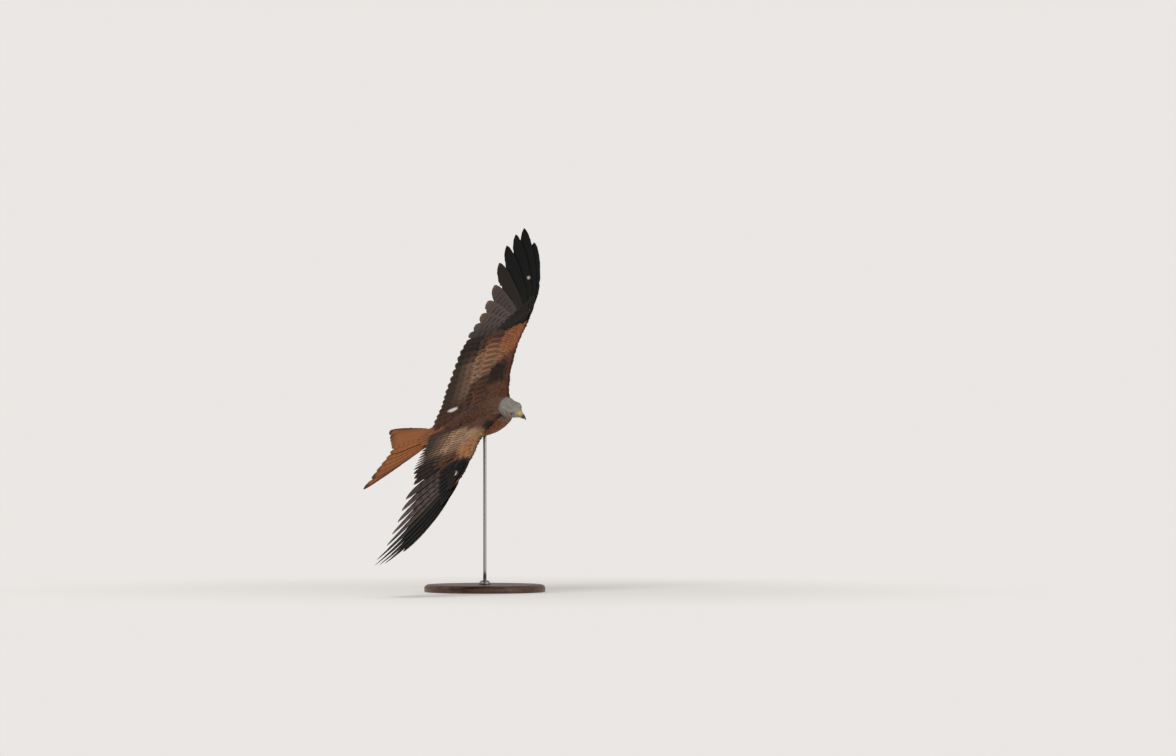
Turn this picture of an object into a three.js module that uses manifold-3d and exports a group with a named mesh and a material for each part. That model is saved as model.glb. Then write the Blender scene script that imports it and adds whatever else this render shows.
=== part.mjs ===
// A red kite in banked, soaring flight on a display stand, life size, in millimetres.
// +Z is up, and seen from above the bird flies between +X and -Y. The origin is the centre of the
// base's underside. The bird itself is built level: +X towards its bill, +Y to its left, +Z out of its
// back, then banked and lifted.

import * as THREE from "three";
import { mergeVertices } from "three/addons/utils/BufferGeometryUtils.js";
import Module from "manifold-3d";

const wasm = await Module();
wasm.setup();

// Pose of the whole bird on its stand
const CLIMB_DEG = 17.3;
const BANK_DEG = 37.9;
const HEADING_DEG = -33.5;
const BODY_HEIGHT = 520;
const ROD_AHEAD = 12; // how far ahead of the body's middle the rod's line passes

// Gap that neighbouring pieces keep
const GAP = 0.3;

// Feathers
const VANE = 0.75; // thickness of a flight feather's vane
const SHAFT_RIDGE = 0.55; // how far the shaft stands over the vane
const TILT = 0.1; // rise of a vane towards its leading edge, for each millimetre across it
const WING_LIFT = 10; // shoulder joint over the body's middle line
const SHOULDER = new THREE.Vector3(52, 43, WING_LIFT);

// Wing laid flat: x ahead of the shoulder joint, y out from it
const WRIST = { x: 43, y: 254 };
const ARM_LEADING = [
  [-25, 44], [30, 34], [86, 31], [144, 37], [202, 50],
  [245, 64], [262, 67], [295, 61], [342, 49], [369, 32],
];
const ARM_REAR = [[-25, -75], [60, -62], [150, -48], [230, -30], [262, -12], [300, 4], [342, 15], [369, 27]];
const ARM_DEPTH = [
  [-25, 30], [30, 26], [90, 20], [160, 17], [240, 15],
  [262, 13], [300, 9], [342, 6], [369, 2.5],
];
const TRAILING_EDGE = [[-10, -234], [48, -211], [115, -204], [192, -182], [278, -158]];
const ARM_STATIONS = [-25, 5, 35, 70, 110, 150, 190, 225, 250, 270, 292, 316, 342, 360, 369];

// How each wing is held: angles in degrees, curl in radians for each metre
const LEFT_WING = {
  side: 1,
  armRise: 20.4,
  handDrop: 29.6,
  tipCurl: 1.58,
  pitch: 5.5,
  handPitch: 0.6,
  sweep: 6.7,
  fan: 0.71,
  bend: -5,
};
const RIGHT_WING = {
  side: -1,
  armRise: 10.2,
  handDrop: 20.2,
  tipCurl: 1.08,
  pitch: 4.2,
  handPitch: -5.6,
  sweep: 10.5,
  fan: 0.69,
  bend: 5,
};
const WRIST_BEND = { from: 205, to: 305 };
const CAMBER_RADIUS = 1500;
const ROOT_LIFT = 9; // how far the trailing edge next to the body is held up, over the root of the tail

// Primaries, from the innermost out: length beyond the root, and angle behind the hand's line when
// fully fanned
const PRIMARY_LENGTH = [218, 234, 255, 286, 322, 384, 416, 424, 420, 345];
const PRIMARY_ANGLE = [87, 74, 61, 49, 37.5, 27, 18.5, 11, 5, 0];

// Secondaries: how far ahead of the arm's rear they root, and how far behind the shoulder they end
const SECONDARY_INSET = 26;
const SECONDARY_REACH = 190;

// Tail
const TAIL_ROOT = -120;
const TAIL_QUILL = 22; // how far behind the tail's root the vanes begin
const TAIL_LENGTH = [240, 252, 267, 284, 302, 333]; // central pair to outer pair
const TAIL_SPREAD_DEG = 19.8;
const TAIL_TWIST_DEG = 6.4;
const TAIL_DROP_DEG = 2.6;
const TAIL_TURN_DEG = -5.7;

// Head
const HEAD_TURN_DEG = -38;
const HEAD_DIP_DEG = 14;
const HEAD_ROLL_DEG = -10;
const NECK_ROOT = 86;
const HEAD_REACH = 72;
const NECK_REACH = 40;
const HEAD_RISE = 8;
const EYE = { x: 8.5, y: 17.6, z: 6.5, r: 7 };

// Stand
const BASE_RADIUS = 180;
const BASE_THICK = 22;
const ROD_RADIUS = 5;
const COLLAR_RADIUS = 17;
const COLLAR_HEIGHT = 12;
const ROD_SINK = 26; // how deep the rod runs into the body

const rad = THREE.MathUtils.degToRad;

// A value read off a short table of [place, value] rows, eased between the rows.
function along(table, at) {
  if (at <= table[0][0]) return table[0][1];
  for (let i = 1; i < table.length; i++) {
    const [x0, v0] = table[i - 1];
    const [x1, v1] = table[i];
    if (at <= x1) return v0 + ((v1 - v0) * (at - x0)) / (x1 - x0);
  }
  return table[table.length - 1][1];
}

function smooth(at, from, to) {
  return THREE.MathUtils.smoothstep(at, from, to);
}

// Solids

function solidOf(positions, triangles) {
  const geometry = new THREE.BufferGeometry();
  geometry.setAttribute("position", new THREE.Float32BufferAttribute(positions, 3));
  geometry.setIndex(triangles);
  const merged = mergeVertices(geometry, 1e-4);
  return new wasm.Manifold(
    new wasm.Mesh({
      numProp: 3,
      vertProperties: new Float32Array(merged.attributes.position.array),
      triVerts: new Uint32Array(merged.index.array),
    }),
  );
}

// A three.js geometry with shared points merged, as a solid.
function solidOfGeometry(geometry) {
  const bare = geometry.clone();
  bare.deleteAttribute("normal");
  bare.deleteAttribute("uv");
  const merged = mergeVertices(bare, 1e-4);
  return solidOf(Array.from(merged.attributes.position.array), Array.from(merged.index.array));
}

// A closed skin through rings of the same number of points, with a flat cap on each end.
// Sides listed in turned take the other diagonal, so that both faces of a thin vane are split alike.
function skinOf(rings, turned = []) {
  const count = rings[0].length;
  const positions = rings.flat().flatMap((p) => [p.x, p.y, p.z]);
  const triangles = [];
  for (let j = 0; j + 1 < rings.length; j++) {
    for (let k = 0; k < count; k++) {
      const a = j * count + k;
      const b = j * count + ((k + 1) % count);
      const c = a + count;
      const d = b + count;
      if (turned.includes(k)) triangles.push(a, b, c, b, d, c);
      else triangles.push(a, b, d, a, d, c);
    }
  }
  const last = (rings.length - 1) * count;
  for (let k = 1; k + 1 < count; k++) {
    triangles.push(0, k + 1, k);
    triangles.push(last, last + k, last + k + 1);
  }
  const solid = solidOf(positions, triangles);
  if (solid.volume() >= 0) return solid;
  for (let i = 0; i < triangles.length; i += 3) {
    [triangles[i + 1], triangles[i + 2]] = [triangles[i + 2], triangles[i + 1]];
  }
  return solidOf(positions, triangles);
}

function fuse(solids) {
  return solids.reduce((whole, piece) => whole.add(piece));
}

// Only the largest closed surface is kept, which drops loose scraps left by a cut.
function largest(solid) {
  const bodies = solid.decompose();
  return bodies.reduce((best, body) => (body.volume() > best.volume() ? body : best));
}

function moved(solid, matrix) {
  return solid.transform(matrix.elements);
}

// A sphere or ellipsoid as a solid.
function ball(centre, radii, across = 16, down = 10) {
  const geometry = new THREE.SphereGeometry(1, across, down);
  geometry.scale(radii.x, radii.y, radii.z);
  geometry.translate(centre.x, centre.y, centre.z);
  return solidOfGeometry(geometry);
}

// A tapering tube along a list of points, each with its own radius.
function taper(points, radii, sides = 6) {
  const rings = points.map((p, i) => {
    const before = points[Math.max(0, i - 1)];
    const after = points[Math.min(points.length - 1, i + 1)];
    const forward = after.clone().sub(before).normalize();
    const side = new THREE.Vector3(0, 1, 0).cross(forward).normalize();
    const up = forward.clone().cross(side);
    return Array.from({ length: sides }, (_, k) => {
      const turn = (2 * Math.PI * k) / sides;
      return p
        .clone()
        .addScaledVector(side, radii[i] * Math.cos(turn))
        .addScaledVector(up, radii[i] * Math.sin(turn));
    });
  });
  return skinOf(rings);
}

// Body

// Half width, height over and depth under the middle line, along the level body.
const BODY_RINGS = [
  [-178, 18, 6, 7, 3],
  [-160, 25, 10, 12, 2],
  [-142, 31, 14, 17, 1],
  [-128, 35, 18, 22, 0],
  [-100, 41, 25, 31, 0],
  [-66, 49, 33, 41, 0],
  [-30, 55, 39, 49, 0],
  [8, 59, 43, 55, 0],
  [40, 58, 43, 55, 0],
  [66, 52, 40, 51, 1],
  [84, 44, 36, 45, 2],
];
const BODY_SIDES = 22;
const TAIL_CUT_RING = 3;

function ringAt(centre, turnDeg, halfWidth, up, down, grow = 0) {
  const turn = rad(turnDeg);
  return Array.from({ length: BODY_SIDES }, (_, k) => {
    const a = (2 * Math.PI * k) / BODY_SIDES;
    const across = (halfWidth + grow) * Math.cos(a);
    const height = (a < Math.PI ? up + grow : down + grow) * Math.sin(a);
    return new THREE.Vector3(
      centre.x - across * Math.sin(turn),
      centre.y + across * Math.cos(turn),
      centre.z + height,
    );
  });
}

function bodyRing([x, halfWidth, up, down, lift], grow = 0, shift = 0) {
  return ringAt(new THREE.Vector3(x + shift, 0, lift), 0, halfWidth, up, down, grow);
}

// Rings of the body joined up, the rear end moved back by grow and the front end on by front.
function skinBetween(rings, grow, front) {
  const last = rings.length - 1;
  const shiftOf = (i) => (i === 0 ? -grow : i === last ? front : 0);
  return skinOf(rings.map((r, i) => bodyRing(r, grow, shiftOf(i))));
}

function torsoSkin(grow = 0) {
  const rings = BODY_RINGS.slice(TAIL_CUT_RING);
  return skinBetween(rings, grow, grow);
}

// The end of the body that carries the tail.
function tailCoreSkin(grow = 0) {
  const rings = BODY_RINGS.slice(0, TAIL_CUT_RING + 1);
  return skinBetween(rings, grow, grow - GAP);
}

const headCentre = new THREE.Vector3(
  NECK_ROOT + HEAD_REACH * Math.cos(rad(HEAD_TURN_DEG)),
  HEAD_REACH * Math.sin(rad(HEAD_TURN_DEG)),
  HEAD_RISE,
);
const headFrame = new THREE.Matrix4()
  .makeTranslation(headCentre.x, headCentre.y, headCentre.z)
  .multiply(
    new THREE.Matrix4().makeRotationFromEuler(
      new THREE.Euler(rad(HEAD_ROLL_DEG), rad(HEAD_DIP_DEG), rad(HEAD_TURN_DEG), "ZYX"),
    ),
  );

// Along the head: place ahead of its centre, half width, height over and depth under its line.
const HEAD_RINGS = [
  [-32, 28.5, 26.5, 29],
  [-22, 28.5, 27.5, 26.5],
  [-10, 27.5, 27, 23],
  [2, 25.5, 25, 20],
  [12, 22, 21.5, 17],
  [21, 16.5, 16.5, 14.5],
  [29, 11, 11, 11.5],
  [33, 8.2, 8.6, 9.6],
];

function neckSkin(grow = 0) {
  const root = BODY_RINGS[BODY_RINGS.length - 1];
  const back = HEAD_RINGS[0];
  const end = new THREE.Vector3(back[0] - GAP, 0, 0);
  const start = new THREE.Vector3(root[0] + GAP - grow, 0, root[4]);
  const rings = [ringAt(start, 0, root[1], root[2], root[3], grow)];
  const steps = 4;
  for (let i = 1; i < steps; i++) {
    const t = i / steps;
    // Between the two ends each point is carried partly by the body and partly by the head.
    const sizes = [1, 2, 3].map((k) => THREE.MathUtils.lerp(root[k], back[k], t) - 2 * Math.sin(Math.PI * t));
    const fromBody = ringAt(new THREE.Vector3(root[0] + NECK_REACH * t, 0, root[4]), 0, ...sizes, grow);
    const fromHead = ringAt(end.clone().setX(end.x - NECK_REACH * (1 - t)), 0, ...sizes, grow);
    rings.push(fromBody.map((p, k) => p.lerp(fromHead[k].applyMatrix4(headFrame), t * t * (3 - 2 * t))));
  }
  rings.push(ringAt(end, 0, back[1], back[2], back[3], grow).map((p) => p.applyMatrix4(headFrame)));
  return skinOf(rings);
}

// A ridge of skin round the eye, heavier over it, which gives a kite its brow.
function lidRing(side) {
  const rings = [];
  const turns = 12;
  for (let i = 0; i < turns; i++) {
    const a = (2 * Math.PI * i) / turns;
    const brow = Math.max(0, Math.sin(a));
    const reach = EYE.r * 0.78 + 0.4 * brow;
    const thick = 1.1 + 1.3 * brow;
    const centre = new THREE.Vector3(
      EYE.x + reach * Math.cos(a),
      side * (EYE.y + 3.4 + 1.0 * brow),
      EYE.z + reach * Math.sin(a),
    );
    const out = new THREE.Vector3(Math.cos(a), 0, Math.sin(a));
    const away = new THREE.Vector3(0, side, 0);
    rings.push(
      [45, 135, 225, 315].map((deg) =>
        centre
          .clone()
          .addScaledVector(out, thick * Math.cos(rad(deg)))
          .addScaledVector(away, thick * Math.sin(rad(deg)) - 0.6),
      ),
    );
  }
  const positions = rings.flat().flatMap((p) => [p.x, p.y, p.z]);
  const triangles = [];
  for (let i = 0; i < turns; i++) {
    for (let k = 0; k < 4; k++) {
      const a = i * 4 + k;
      const b = i * 4 + ((k + 1) % 4);
      const c = ((i + 1) % turns) * 4 + k;
      const d = ((i + 1) % turns) * 4 + ((k + 1) % 4);
      if (side > 0) triangles.push(a, b, d, a, d, c);
      else triangles.push(a, d, b, a, c, d);
    }
  }
  const solid = solidOf(positions, triangles);
  if (solid.volume() >= 0) return solid;
  return solidOf(positions, triangles.map((_, i) => triangles[i - (i % 3) + [0, 2, 1][i % 3]]));
}

function headSolid() {
  const rings = HEAD_RINGS.map(([x, w, up, down]) => ringAt(new THREE.Vector3(x, 0, 0), 0, w, up, down));
  let head = skinOf(rings);
  for (const side of [1, -1]) {
    head = head.add(lidRing(side));
    const socket = new THREE.Vector3(EYE.x, side * EYE.y, EYE.z);
    const room = EYE.r + GAP;
    head = head.subtract(ball(socket, new THREE.Vector3(room, room, room), 14, 9));
    // The line of the mouth runs back under the eye.
    const corner = new THREE.Vector3(27, side * 16.5, -4.6);
    head = head.subtract(ball(corner, new THREE.Vector3(13, 4.4, 0.7), 8, 6));
  }
  return largest(head);
}

// One half of the bill, from stations of [x, top, bottom, half width, x of the bottom].
function billSkin(stations, sides = 8) {
  return skinOf(
    stations.map(([x, top, bottom, half, under]) => {
      const middle = new THREE.Vector3((x + under) / 2, 0, (top + bottom) / 2);
      const rise = new THREE.Vector3((x - under) / 2, 0, (top - bottom) / 2);
      return Array.from({ length: sides }, (_, k) => {
        const a = (2 * Math.PI * (k + 0.5)) / sides;
        const p = middle.clone().addScaledVector(rise, Math.sin(a) / Math.cos(Math.PI / sides));
        p.y += (half * Math.cos(a)) / Math.cos(Math.PI / sides);
        return p;
      });
    }),
  );
}

const CERE = [
  [33.3, 8.4, -3.2, 7.9, 33.3],
  [38, 9.0, -3.7, 7.4, 38],
  [42, 8.8, -4.0, 6.6, 42],
];
const UPPER_BILL = [
  [42.3, 8.2, -4.0, 6.2, 42.3],
  [48, 6.6, -4.6, 5.3, 47],
  [53.2, 3.0, -5.6, 4.2, 51.4],
  [56.8, -2.0, -6.8, 3.0, 54.2],
  [58.4, -7.4, -9.4, 1.7, 56.2],
  [58.2, -12.6, -13.2, 0.4, 57.8],
];
const LOWER_BILL = [
  [33.3, -3.8, -9.2, 6.4, 33.3],
  [40, -4.6, -9.9, 5.4, 40],
  [46, -5.3, -9.6, 4.3, 46.4],
  [50.4, -6.3, -9.0, 2.9, 51.2],
  [52.4, -7.6, -8.6, 1.1, 53.2],
];

function cereSolid() {
  let cere = billSkin(CERE, 10);
  for (const side of [1, -1]) {
    const nostril = new THREE.Vector3(39.4, side * 8.2, 3.0);
    cere = cere.subtract(ball(nostril, new THREE.Vector3(1.9, 2.2, 1.1), 8, 6));
  }
  return cere;
}

// Wings

// Carries a point of the flat wing to its place on the held wing.
function wingMap(wing) {
  const step = 4;
  const reach = 900;
  const rows = [];
  let y = 0;
  let z = 0;
  const angleAt = (out) =>
    rad(wing.armRise) -
    rad(wing.handDrop) * smooth(out, WRIST_BEND.from, WRIST_BEND.to) +
    (wing.tipCurl * Math.max(0, out - WRIST_BEND.to)) / 1000;
  for (let out = 0; out <= reach; out += step) {
    rows.push([y, z]);
    const a = angleAt(out + step / 2);
    y += step * Math.cos(a);
    z += step * Math.sin(a);
  }
  return (p) => {
    const out = Math.max(0, p.y);
    const row = Math.min(rows.length - 2, Math.floor(out / step));
    const t = out / step - row;
    const a = angleAt(out);
    const py = THREE.MathUtils.lerp(rows[row][0], rows[row + 1][0], t) + (p.y - out) * Math.cos(a);
    const pz = THREE.MathUtils.lerp(rows[row][1], rows[row + 1][1], t) + (p.y - out) * Math.sin(a);
    const pitch = rad(wing.pitch + wing.handPitch * smooth(out, WRIST_BEND.from, WRIST_BEND.to));
    const behind = Math.max(0, -p.x);
    const lifted = ROOT_LIFT * (1 - smooth(p.y, 10, 160)) * (behind / 200) ** 2;
    const height = p.z - (p.x * p.x * Math.sign(-p.x)) / (2 * CAMBER_RADIUS) + lifted;
    const ahead = p.x * Math.cos(pitch) + height * Math.sin(pitch);
    const over = -p.x * Math.sin(pitch) + height * Math.cos(pitch);
    return new THREE.Vector3(
      SHOULDER.x + ahead,
      wing.side * (SHOULDER.y + py - over * Math.sin(a)),
      SHOULDER.z + pz + over * Math.cos(a),
    );
  };
}

const ARM_PROFILE = [
  [0, 0],
  [0.07, 0.3],
  [0.24, 0.52],
  [0.5, 0.5],
  [0.76, 0.34],
  [1, 0.1],
  [1, -0.08],
  [0.76, -0.24],
  [0.45, -0.34],
  [0.1, -0.26],
];

function armSkin(place) {
  return skinOf(
    ARM_STATIONS.map((y) => {
      const front = along(ARM_LEADING, y);
      const rear = along(ARM_REAR, y);
      const depth = along(ARM_DEPTH, y);
      return ARM_PROFILE.map(([u, h]) => place(new THREE.Vector3(front + (rear - front) * u, y, h * depth)));
    }),
  );
}

// Share of the full half width at each share of the length, ahead of the shaft and behind it.
const OUTLINES = {
  plain: {
    at: [0, 0.2, 0.52, 0.82, 0.95, 1],
    ahead: [0.3, 0.75, 1, 0.94, 0.62, 0.16],
    behind: [0.25, 0.8, 1, 0.96, 0.66, 0.16],
  },
  finger: {
    at: [0, 0.12, 0.34, 0.52, 0.66, 0.84, 0.95, 1],
    ahead: [0.3, 0.6, 1, 1, 0.88, 0.78, 0.5, 0.1],
    behind: [0.25, 0.75, 1, 1, 0.86, 0.78, 0.5, 0.08],
  },
  covert: {
    at: [0, 0.4, 0.86, 1],
    ahead: [0.4, 0.95, 0.84, 0.2],
    behind: [0.4, 0.95, 0.84, 0.2],
  },
};

// One feather as a thin closed vane. All of it is laid out flat and then carried by place.
// rise tells how far the vane has left its layer at each distance from its root.
function vane(feather) {
  const { place, root, angle, length, ahead, behind, outline } = feather;
  const { rise = () => 0, curve = 0, ridge = 0, tilt = TILT } = feather;
  const shape = OUTLINES[outline];
  let at = root.clone();
  let travelled = 0;
  const rings = shape.at.map((t, j) => {
    const heading = rad(angle + curve * t * t);
    const onward = new THREE.Vector3(Math.sin(heading), Math.cos(heading), 0);
    at = at.clone().addScaledVector(onward, t * length - travelled);
    travelled = t * length;
    const front = new THREE.Vector3(Math.cos(heading), -Math.sin(heading), 0);
    const layer = root.z + rise(travelled);
    const half = (VANE / 2) * (j === shape.at.length - 1 ? 0.6 : 1);
    const a = ahead * shape.ahead[j];
    const b = behind * shape.behind[j];
    const point = (offset, z) =>
      place(at.clone().addScaledVector(front, offset).setZ(layer + tilt * offset + z));
    if (!ridge) return [point(a, half), point(-b, half), point(-b, -half), point(a, -half)];
    const shaft = ridge * (1 - 0.7 * t);
    return [point(a, half), point(0, half + shaft), point(-b, half), point(-b, -half), point(a, -half)];
  });
  return skinOf(rings, ridge ? [3] : [2]);
}

// The secondaries and tertials, from the wrist in to the body.
const ARM_FEATHERS = 16;
const ARM_FEATHER_FIRST = 246;
const ARM_FEATHER_LAST = -8;

function armFeather(i, count) {
  const t = i / (count - 1);
  const y = THREE.MathUtils.lerp(ARM_FEATHER_FIRST, ARM_FEATHER_LAST, t);
  const angle = THREE.MathUtils.lerp(-73, -93, smooth(t, -0.2, 0.7));
  return { y, angle, t };
}

function secondaries(place) {
  return Array.from({ length: ARM_FEATHERS }, (_, i) => {
    const { y, angle, t } = armFeather(i, ARM_FEATHERS);
    const rear = along(ARM_REAR, y);
    const x = rear + SECONDARY_INSET;
    const tipY = y + (x + SECONDARY_REACH) / Math.tan(rad(-angle));
    const length = (x - along(TRAILING_EDGE, tipY)) / Math.sin(rad(-angle));
    const wide = THREE.MathUtils.lerp(1, 1.06, t);
    return vane({
      place,
      root: new THREE.Vector3(x, y, 0),
      angle,
      length,
      ahead: 13 * wide,
      behind: 24 * wide,
      outline: "plain",
      ridge: SHAFT_RIDGE,
    });
  });
}

// A tier of coverts over or under the arm feathers. step moves it on by a share of a feather; start
// and end are how far ahead of the arm's rear its roots lie and how far behind it its tips.
function armTier(place, { start, end, height, half, first = 0, step = 0 }) {
  return Array.from({ length: ARM_FEATHERS - first }, (_, k) => {
    const { y, angle } = armFeather(k + first + step, ARM_FEATHERS);
    const rear = along(ARM_REAR, y);
    return vane({
      place,
      root: new THREE.Vector3(rear + start, y, 0),
      angle,
      length: (start + end) / Math.sin(rad(-angle)),
      ahead: half * 0.8,
      behind: half * 1.1,
      outline: "covert",
      rise: (r) => height * (0.4 + 0.6 * smooth(r, 0, 30)),
    });
  });
}

// A place on the hand, told along its own line, on the flat wing.
function handPoint(wing, ahead, out, z = 0) {
  const s = rad(wing.sweep);
  return new THREE.Vector3(
    WRIST.x + ahead * Math.cos(s) - out * Math.sin(s),
    WRIST.y + ahead * Math.sin(s) + out * Math.cos(s),
    z,
  );
}

const HAND_FIRST = 14;
const HAND_SPACING = 9;
const PRIMARY_COVERT_HEIGHT = 4.6;

function primaryRoot(wing, i) {
  return handPoint(wing, -12 + 1.3 * i, HAND_FIRST + HAND_SPACING * i);
}

// Each primary lies under the one inside it.
function primaryLayer(i, r) {
  const under = 0.6 * i + 0.35 * Math.max(0, i - 4);
  return -under * smooth(r, -10, 32);
}

function primaryAngle(wing, i) {
  return -PRIMARY_ANGLE[i] * wing.fan - wing.sweep;
}

function primaries(wing, place) {
  return PRIMARY_LENGTH.map((length, i) => {
    const finger = i >= 5;
    return vane({
      place,
      root: primaryRoot(wing, i),
      angle: primaryAngle(wing, i),
      length,
      ahead: finger ? 15 : 14,
      behind: finger ? 38 : 32,
      outline: finger ? "finger" : "plain",
      curve: (wing.bend * i) / (PRIMARY_LENGTH.length - 1),
      rise: (r) => primaryLayer(i, r),
      ridge: SHAFT_RIDGE,
    });
  });
}

function primaryCoverts(wing, place) {
  return Array.from({ length: 9 }, (_, i) => {
    const root = primaryRoot(wing, i);
    root.x += 8;
    return vane({
      place,
      root,
      angle: primaryAngle(wing, i) + 1,
      length: 92 + 4 * i,
      ahead: 10,
      behind: 17,
      outline: "covert",
      rise: (r) => primaryLayer(i, r) + PRIMARY_COVERT_HEIGHT * smooth(r, -20, 30),
    });
  });
}

function alula(wing, place) {
  return [104, 86, 66].map((length, i) =>
    vane({
      place,
      root: handPoint(wing, 14 - 5 * i, 10 + 3 * i, 1.5),
      angle: -wing.sweep - 3 - 3 * i,
      length,
      ahead: 7,
      behind: 13,
      outline: "covert",
      rise: (r) => (4.6 + 1.3 * i) * smooth(r, -10, 30),
    }),
  );
}

const GREATER = { start: 30, end: 58, height: 3.2, half: 13 };
const MEDIAN = { start: 42, end: 24, height: 6.6, half: 13, first: 1, step: -0.5 };
const UNDER_GREATER = { start: 28, end: 50, height: -3.9, half: 11, first: 2 };

function wingSolid(wing) {
  const place = wingMap(wing);
  const pieces = [
    armSkin(place),
    ...secondaries(place),
    ...armTier(place, GREATER),
    ...armTier(place, MEDIAN),
    ...armTier(place, UNDER_GREATER),
    ...primaries(wing, place),
    ...primaryCoverts(wing, place),
    ...alula(wing, place),
  ];
  const clear = GAP + 0.1;
  return largest(fuse(pieces).subtract(fuse([torsoSkin(clear), neckSkin(clear), tailCoreSkin(clear)])));
}

// Tail

// Carries a point of the flat tail, with y back along it and x to its left, to its place on the body.
function tailMap(p) {
  const twist = rad(TAIL_TWIST_DEG) * smooth(p.y, 20, 200);
  const drop = rad(TAIL_DROP_DEG);
  const sideways = p.x * Math.cos(twist) - p.z * Math.sin(twist);
  const over = p.x * Math.sin(twist) + p.z * Math.cos(twist);
  const dish = (-p.x * p.x) / 2600;
  const turn = rad(TAIL_TURN_DEG);
  const back = p.y * Math.cos(drop);
  return new THREE.Vector3(
    TAIL_ROOT - back * Math.cos(turn) - sideways * Math.sin(turn),
    sideways * Math.cos(turn) - back * Math.sin(turn),
    2 + over + dish - p.y * Math.sin(drop),
  );
}

const TAIL_PAIRS = 6;
const TAIL_INNER_VANE = [14, 17, 18, 21, 24, 26];
const TAIL_LAYERS = [5.2, 1.7, -1.5, -2.9, -4.2, -5.5]; // height of each left feather, central pair first
const TAIL_OVERLAP = [1.8, 1.7, 0, 0, 0, 0]; // how much lower the right one of each pair lies

function rectrix(side, i) {
  const angle = (TAIL_SPREAD_DEG * (i + 0.45)) / (TAIL_PAIRS - 0.55);
  const outer = i === TAIL_PAIRS - 1;
  const place = (p) => tailMap(new THREE.Vector3(p.x * side, p.y, p.z));
  return vane({
    place,
    root: new THREE.Vector3(1.2 + 2.1 * i, TAIL_QUILL, TAIL_LAYERS[i] - (side < 0 ? TAIL_OVERLAP[i] : 0)),
    angle,
    length: TAIL_LENGTH[i] - TAIL_QUILL,
    ahead: outer ? 13 : 20,
    behind: TAIL_INNER_VANE[i],
    outline: "plain",
    curve: outer ? 5 : 1.5,
    ridge: SHAFT_RIDGE,
    tilt: 0.03,
  });
}

// Five coverts over or under the tail: one in the middle and a pair on each side of it.
function tailCoverts(over) {
  const facing = over ? 1 : -1;
  return [-2, -1, 0, 1, 2].map((i) => {
    const out = Math.abs(i);
    return vane({
      place: tailMap,
      root: new THREE.Vector3(10 * i, 20 - 2 * out, 0),
      angle: 3.5 * i,
      length: (over ? 82 : 104) - 8 * out,
      ahead: 10,
      behind: 10,
      outline: "covert",
      rise: (r) => facing * (9.9 - 1.35 * out) * smooth(r, -20, 30),
      tilt: 0,
    });
  });
}

function tailSolid() {
  const core = tailCoreSkin();
  const feathers = [];
  for (const side of [1, -1]) {
    for (let i = 0; i < TAIL_PAIRS; i++) feathers.push(rectrix(side, i));
  }
  const whole = fuse([core, ...feathers, ...tailCoverts(true), ...tailCoverts(false)]);
  return largest(whole.subtract(torsoSkin(GAP)));
}

// Legs, folded back under the belly

function thighSolid(side) {
  const points = [
    new THREE.Vector3(-40, side * 24, -36),
    new THREE.Vector3(-58, side * 24, -41),
    new THREE.Vector3(-80, side * 22, -41),
    new THREE.Vector3(-101, side * 18.4, -34.4),
    new THREE.Vector3(-105, side * ANKLE.y, ANKLE.z),
    new THREE.Vector3(ANKLE.x + GAP, side * ANKLE.y, ANKLE.z),
  ];
  const leg = taper(points, [9, 15.5, 13.5, 7.4, 5.6, 4.4], 10);
  return largest(leg.subtract(torsoSkin(GAP + 0.1)));
}

const ANKLE = { x: -110.4, y: 18, z: -33.4 };
const TOE_FAN = 14; // reach over which the toes of a foot spread
const TOES = [
  { spread: 5.5, length: 30, curl: 1.0 },
  { spread: 0, length: 36, curl: 1.0 },
  { spread: -5.5, length: 28, curl: 1.0 },
  { spread: -1, length: 20, curl: -1.0 },
];

// The middle line of a toe and of its claw, in the plane in which the foot closes.
function toeLine(side, toe) {
  const foot = new THREE.Vector3(ANKLE.x - 50, side * (ANKLE.y - 2), ANKLE.z - 1);
  const spreadAt = (reach) => side * toe.spread * Math.min(1, reach / TOE_FAN);
  const toeAt = (reach, dip) =>
    new THREE.Vector3(foot.x - reach, foot.y + spreadAt(reach), foot.z - dip * toe.curl);
  const l = toe.length;
  const knuckle = toeAt(l * 0.7, 4);
  const end = toeAt(l * 0.92, 9);
  const onward = end.clone().sub(knuckle).normalize();
  const past = (reach) => end.clone().addScaledVector(onward, reach);
  return {
    toe: [toeAt(-3, 0), toeAt(l * 0.35, 0.5), knuckle, end],
    claw: [past(GAP + 0.05), past(2.2), toeAt(l * 0.99, 16.5), toeAt(l * 0.82, 20.5)],
  };
}

function footSolid(side) {
  const tarsus = taper(
    [
      new THREE.Vector3(ANKLE.x, side * ANKLE.y, ANKLE.z),
      new THREE.Vector3(ANKLE.x - 8, side * ANKLE.y, ANKLE.z),
      new THREE.Vector3(ANKLE.x - 28, side * (ANKLE.y - 1), ANKLE.z - 0.5),
      new THREE.Vector3(ANKLE.x - 53, side * (ANKLE.y - 2), ANKLE.z - 1),
    ],
    [4.0, 3.6, 3.4, 4.6],
    8,
  );
  const toes = TOES.map((toe) => taper(toeLine(side, toe).toe, [3.4, 2.9, 3.0, 2.4], 6));
  return largest(fuse([tarsus, ...toes]));
}

function clawSolid(side, toe) {
  return taper(toeLine(side, toe).claw, [2.1, 1.8, 1.1, 0.3], 6);
}

// Stand

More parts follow.
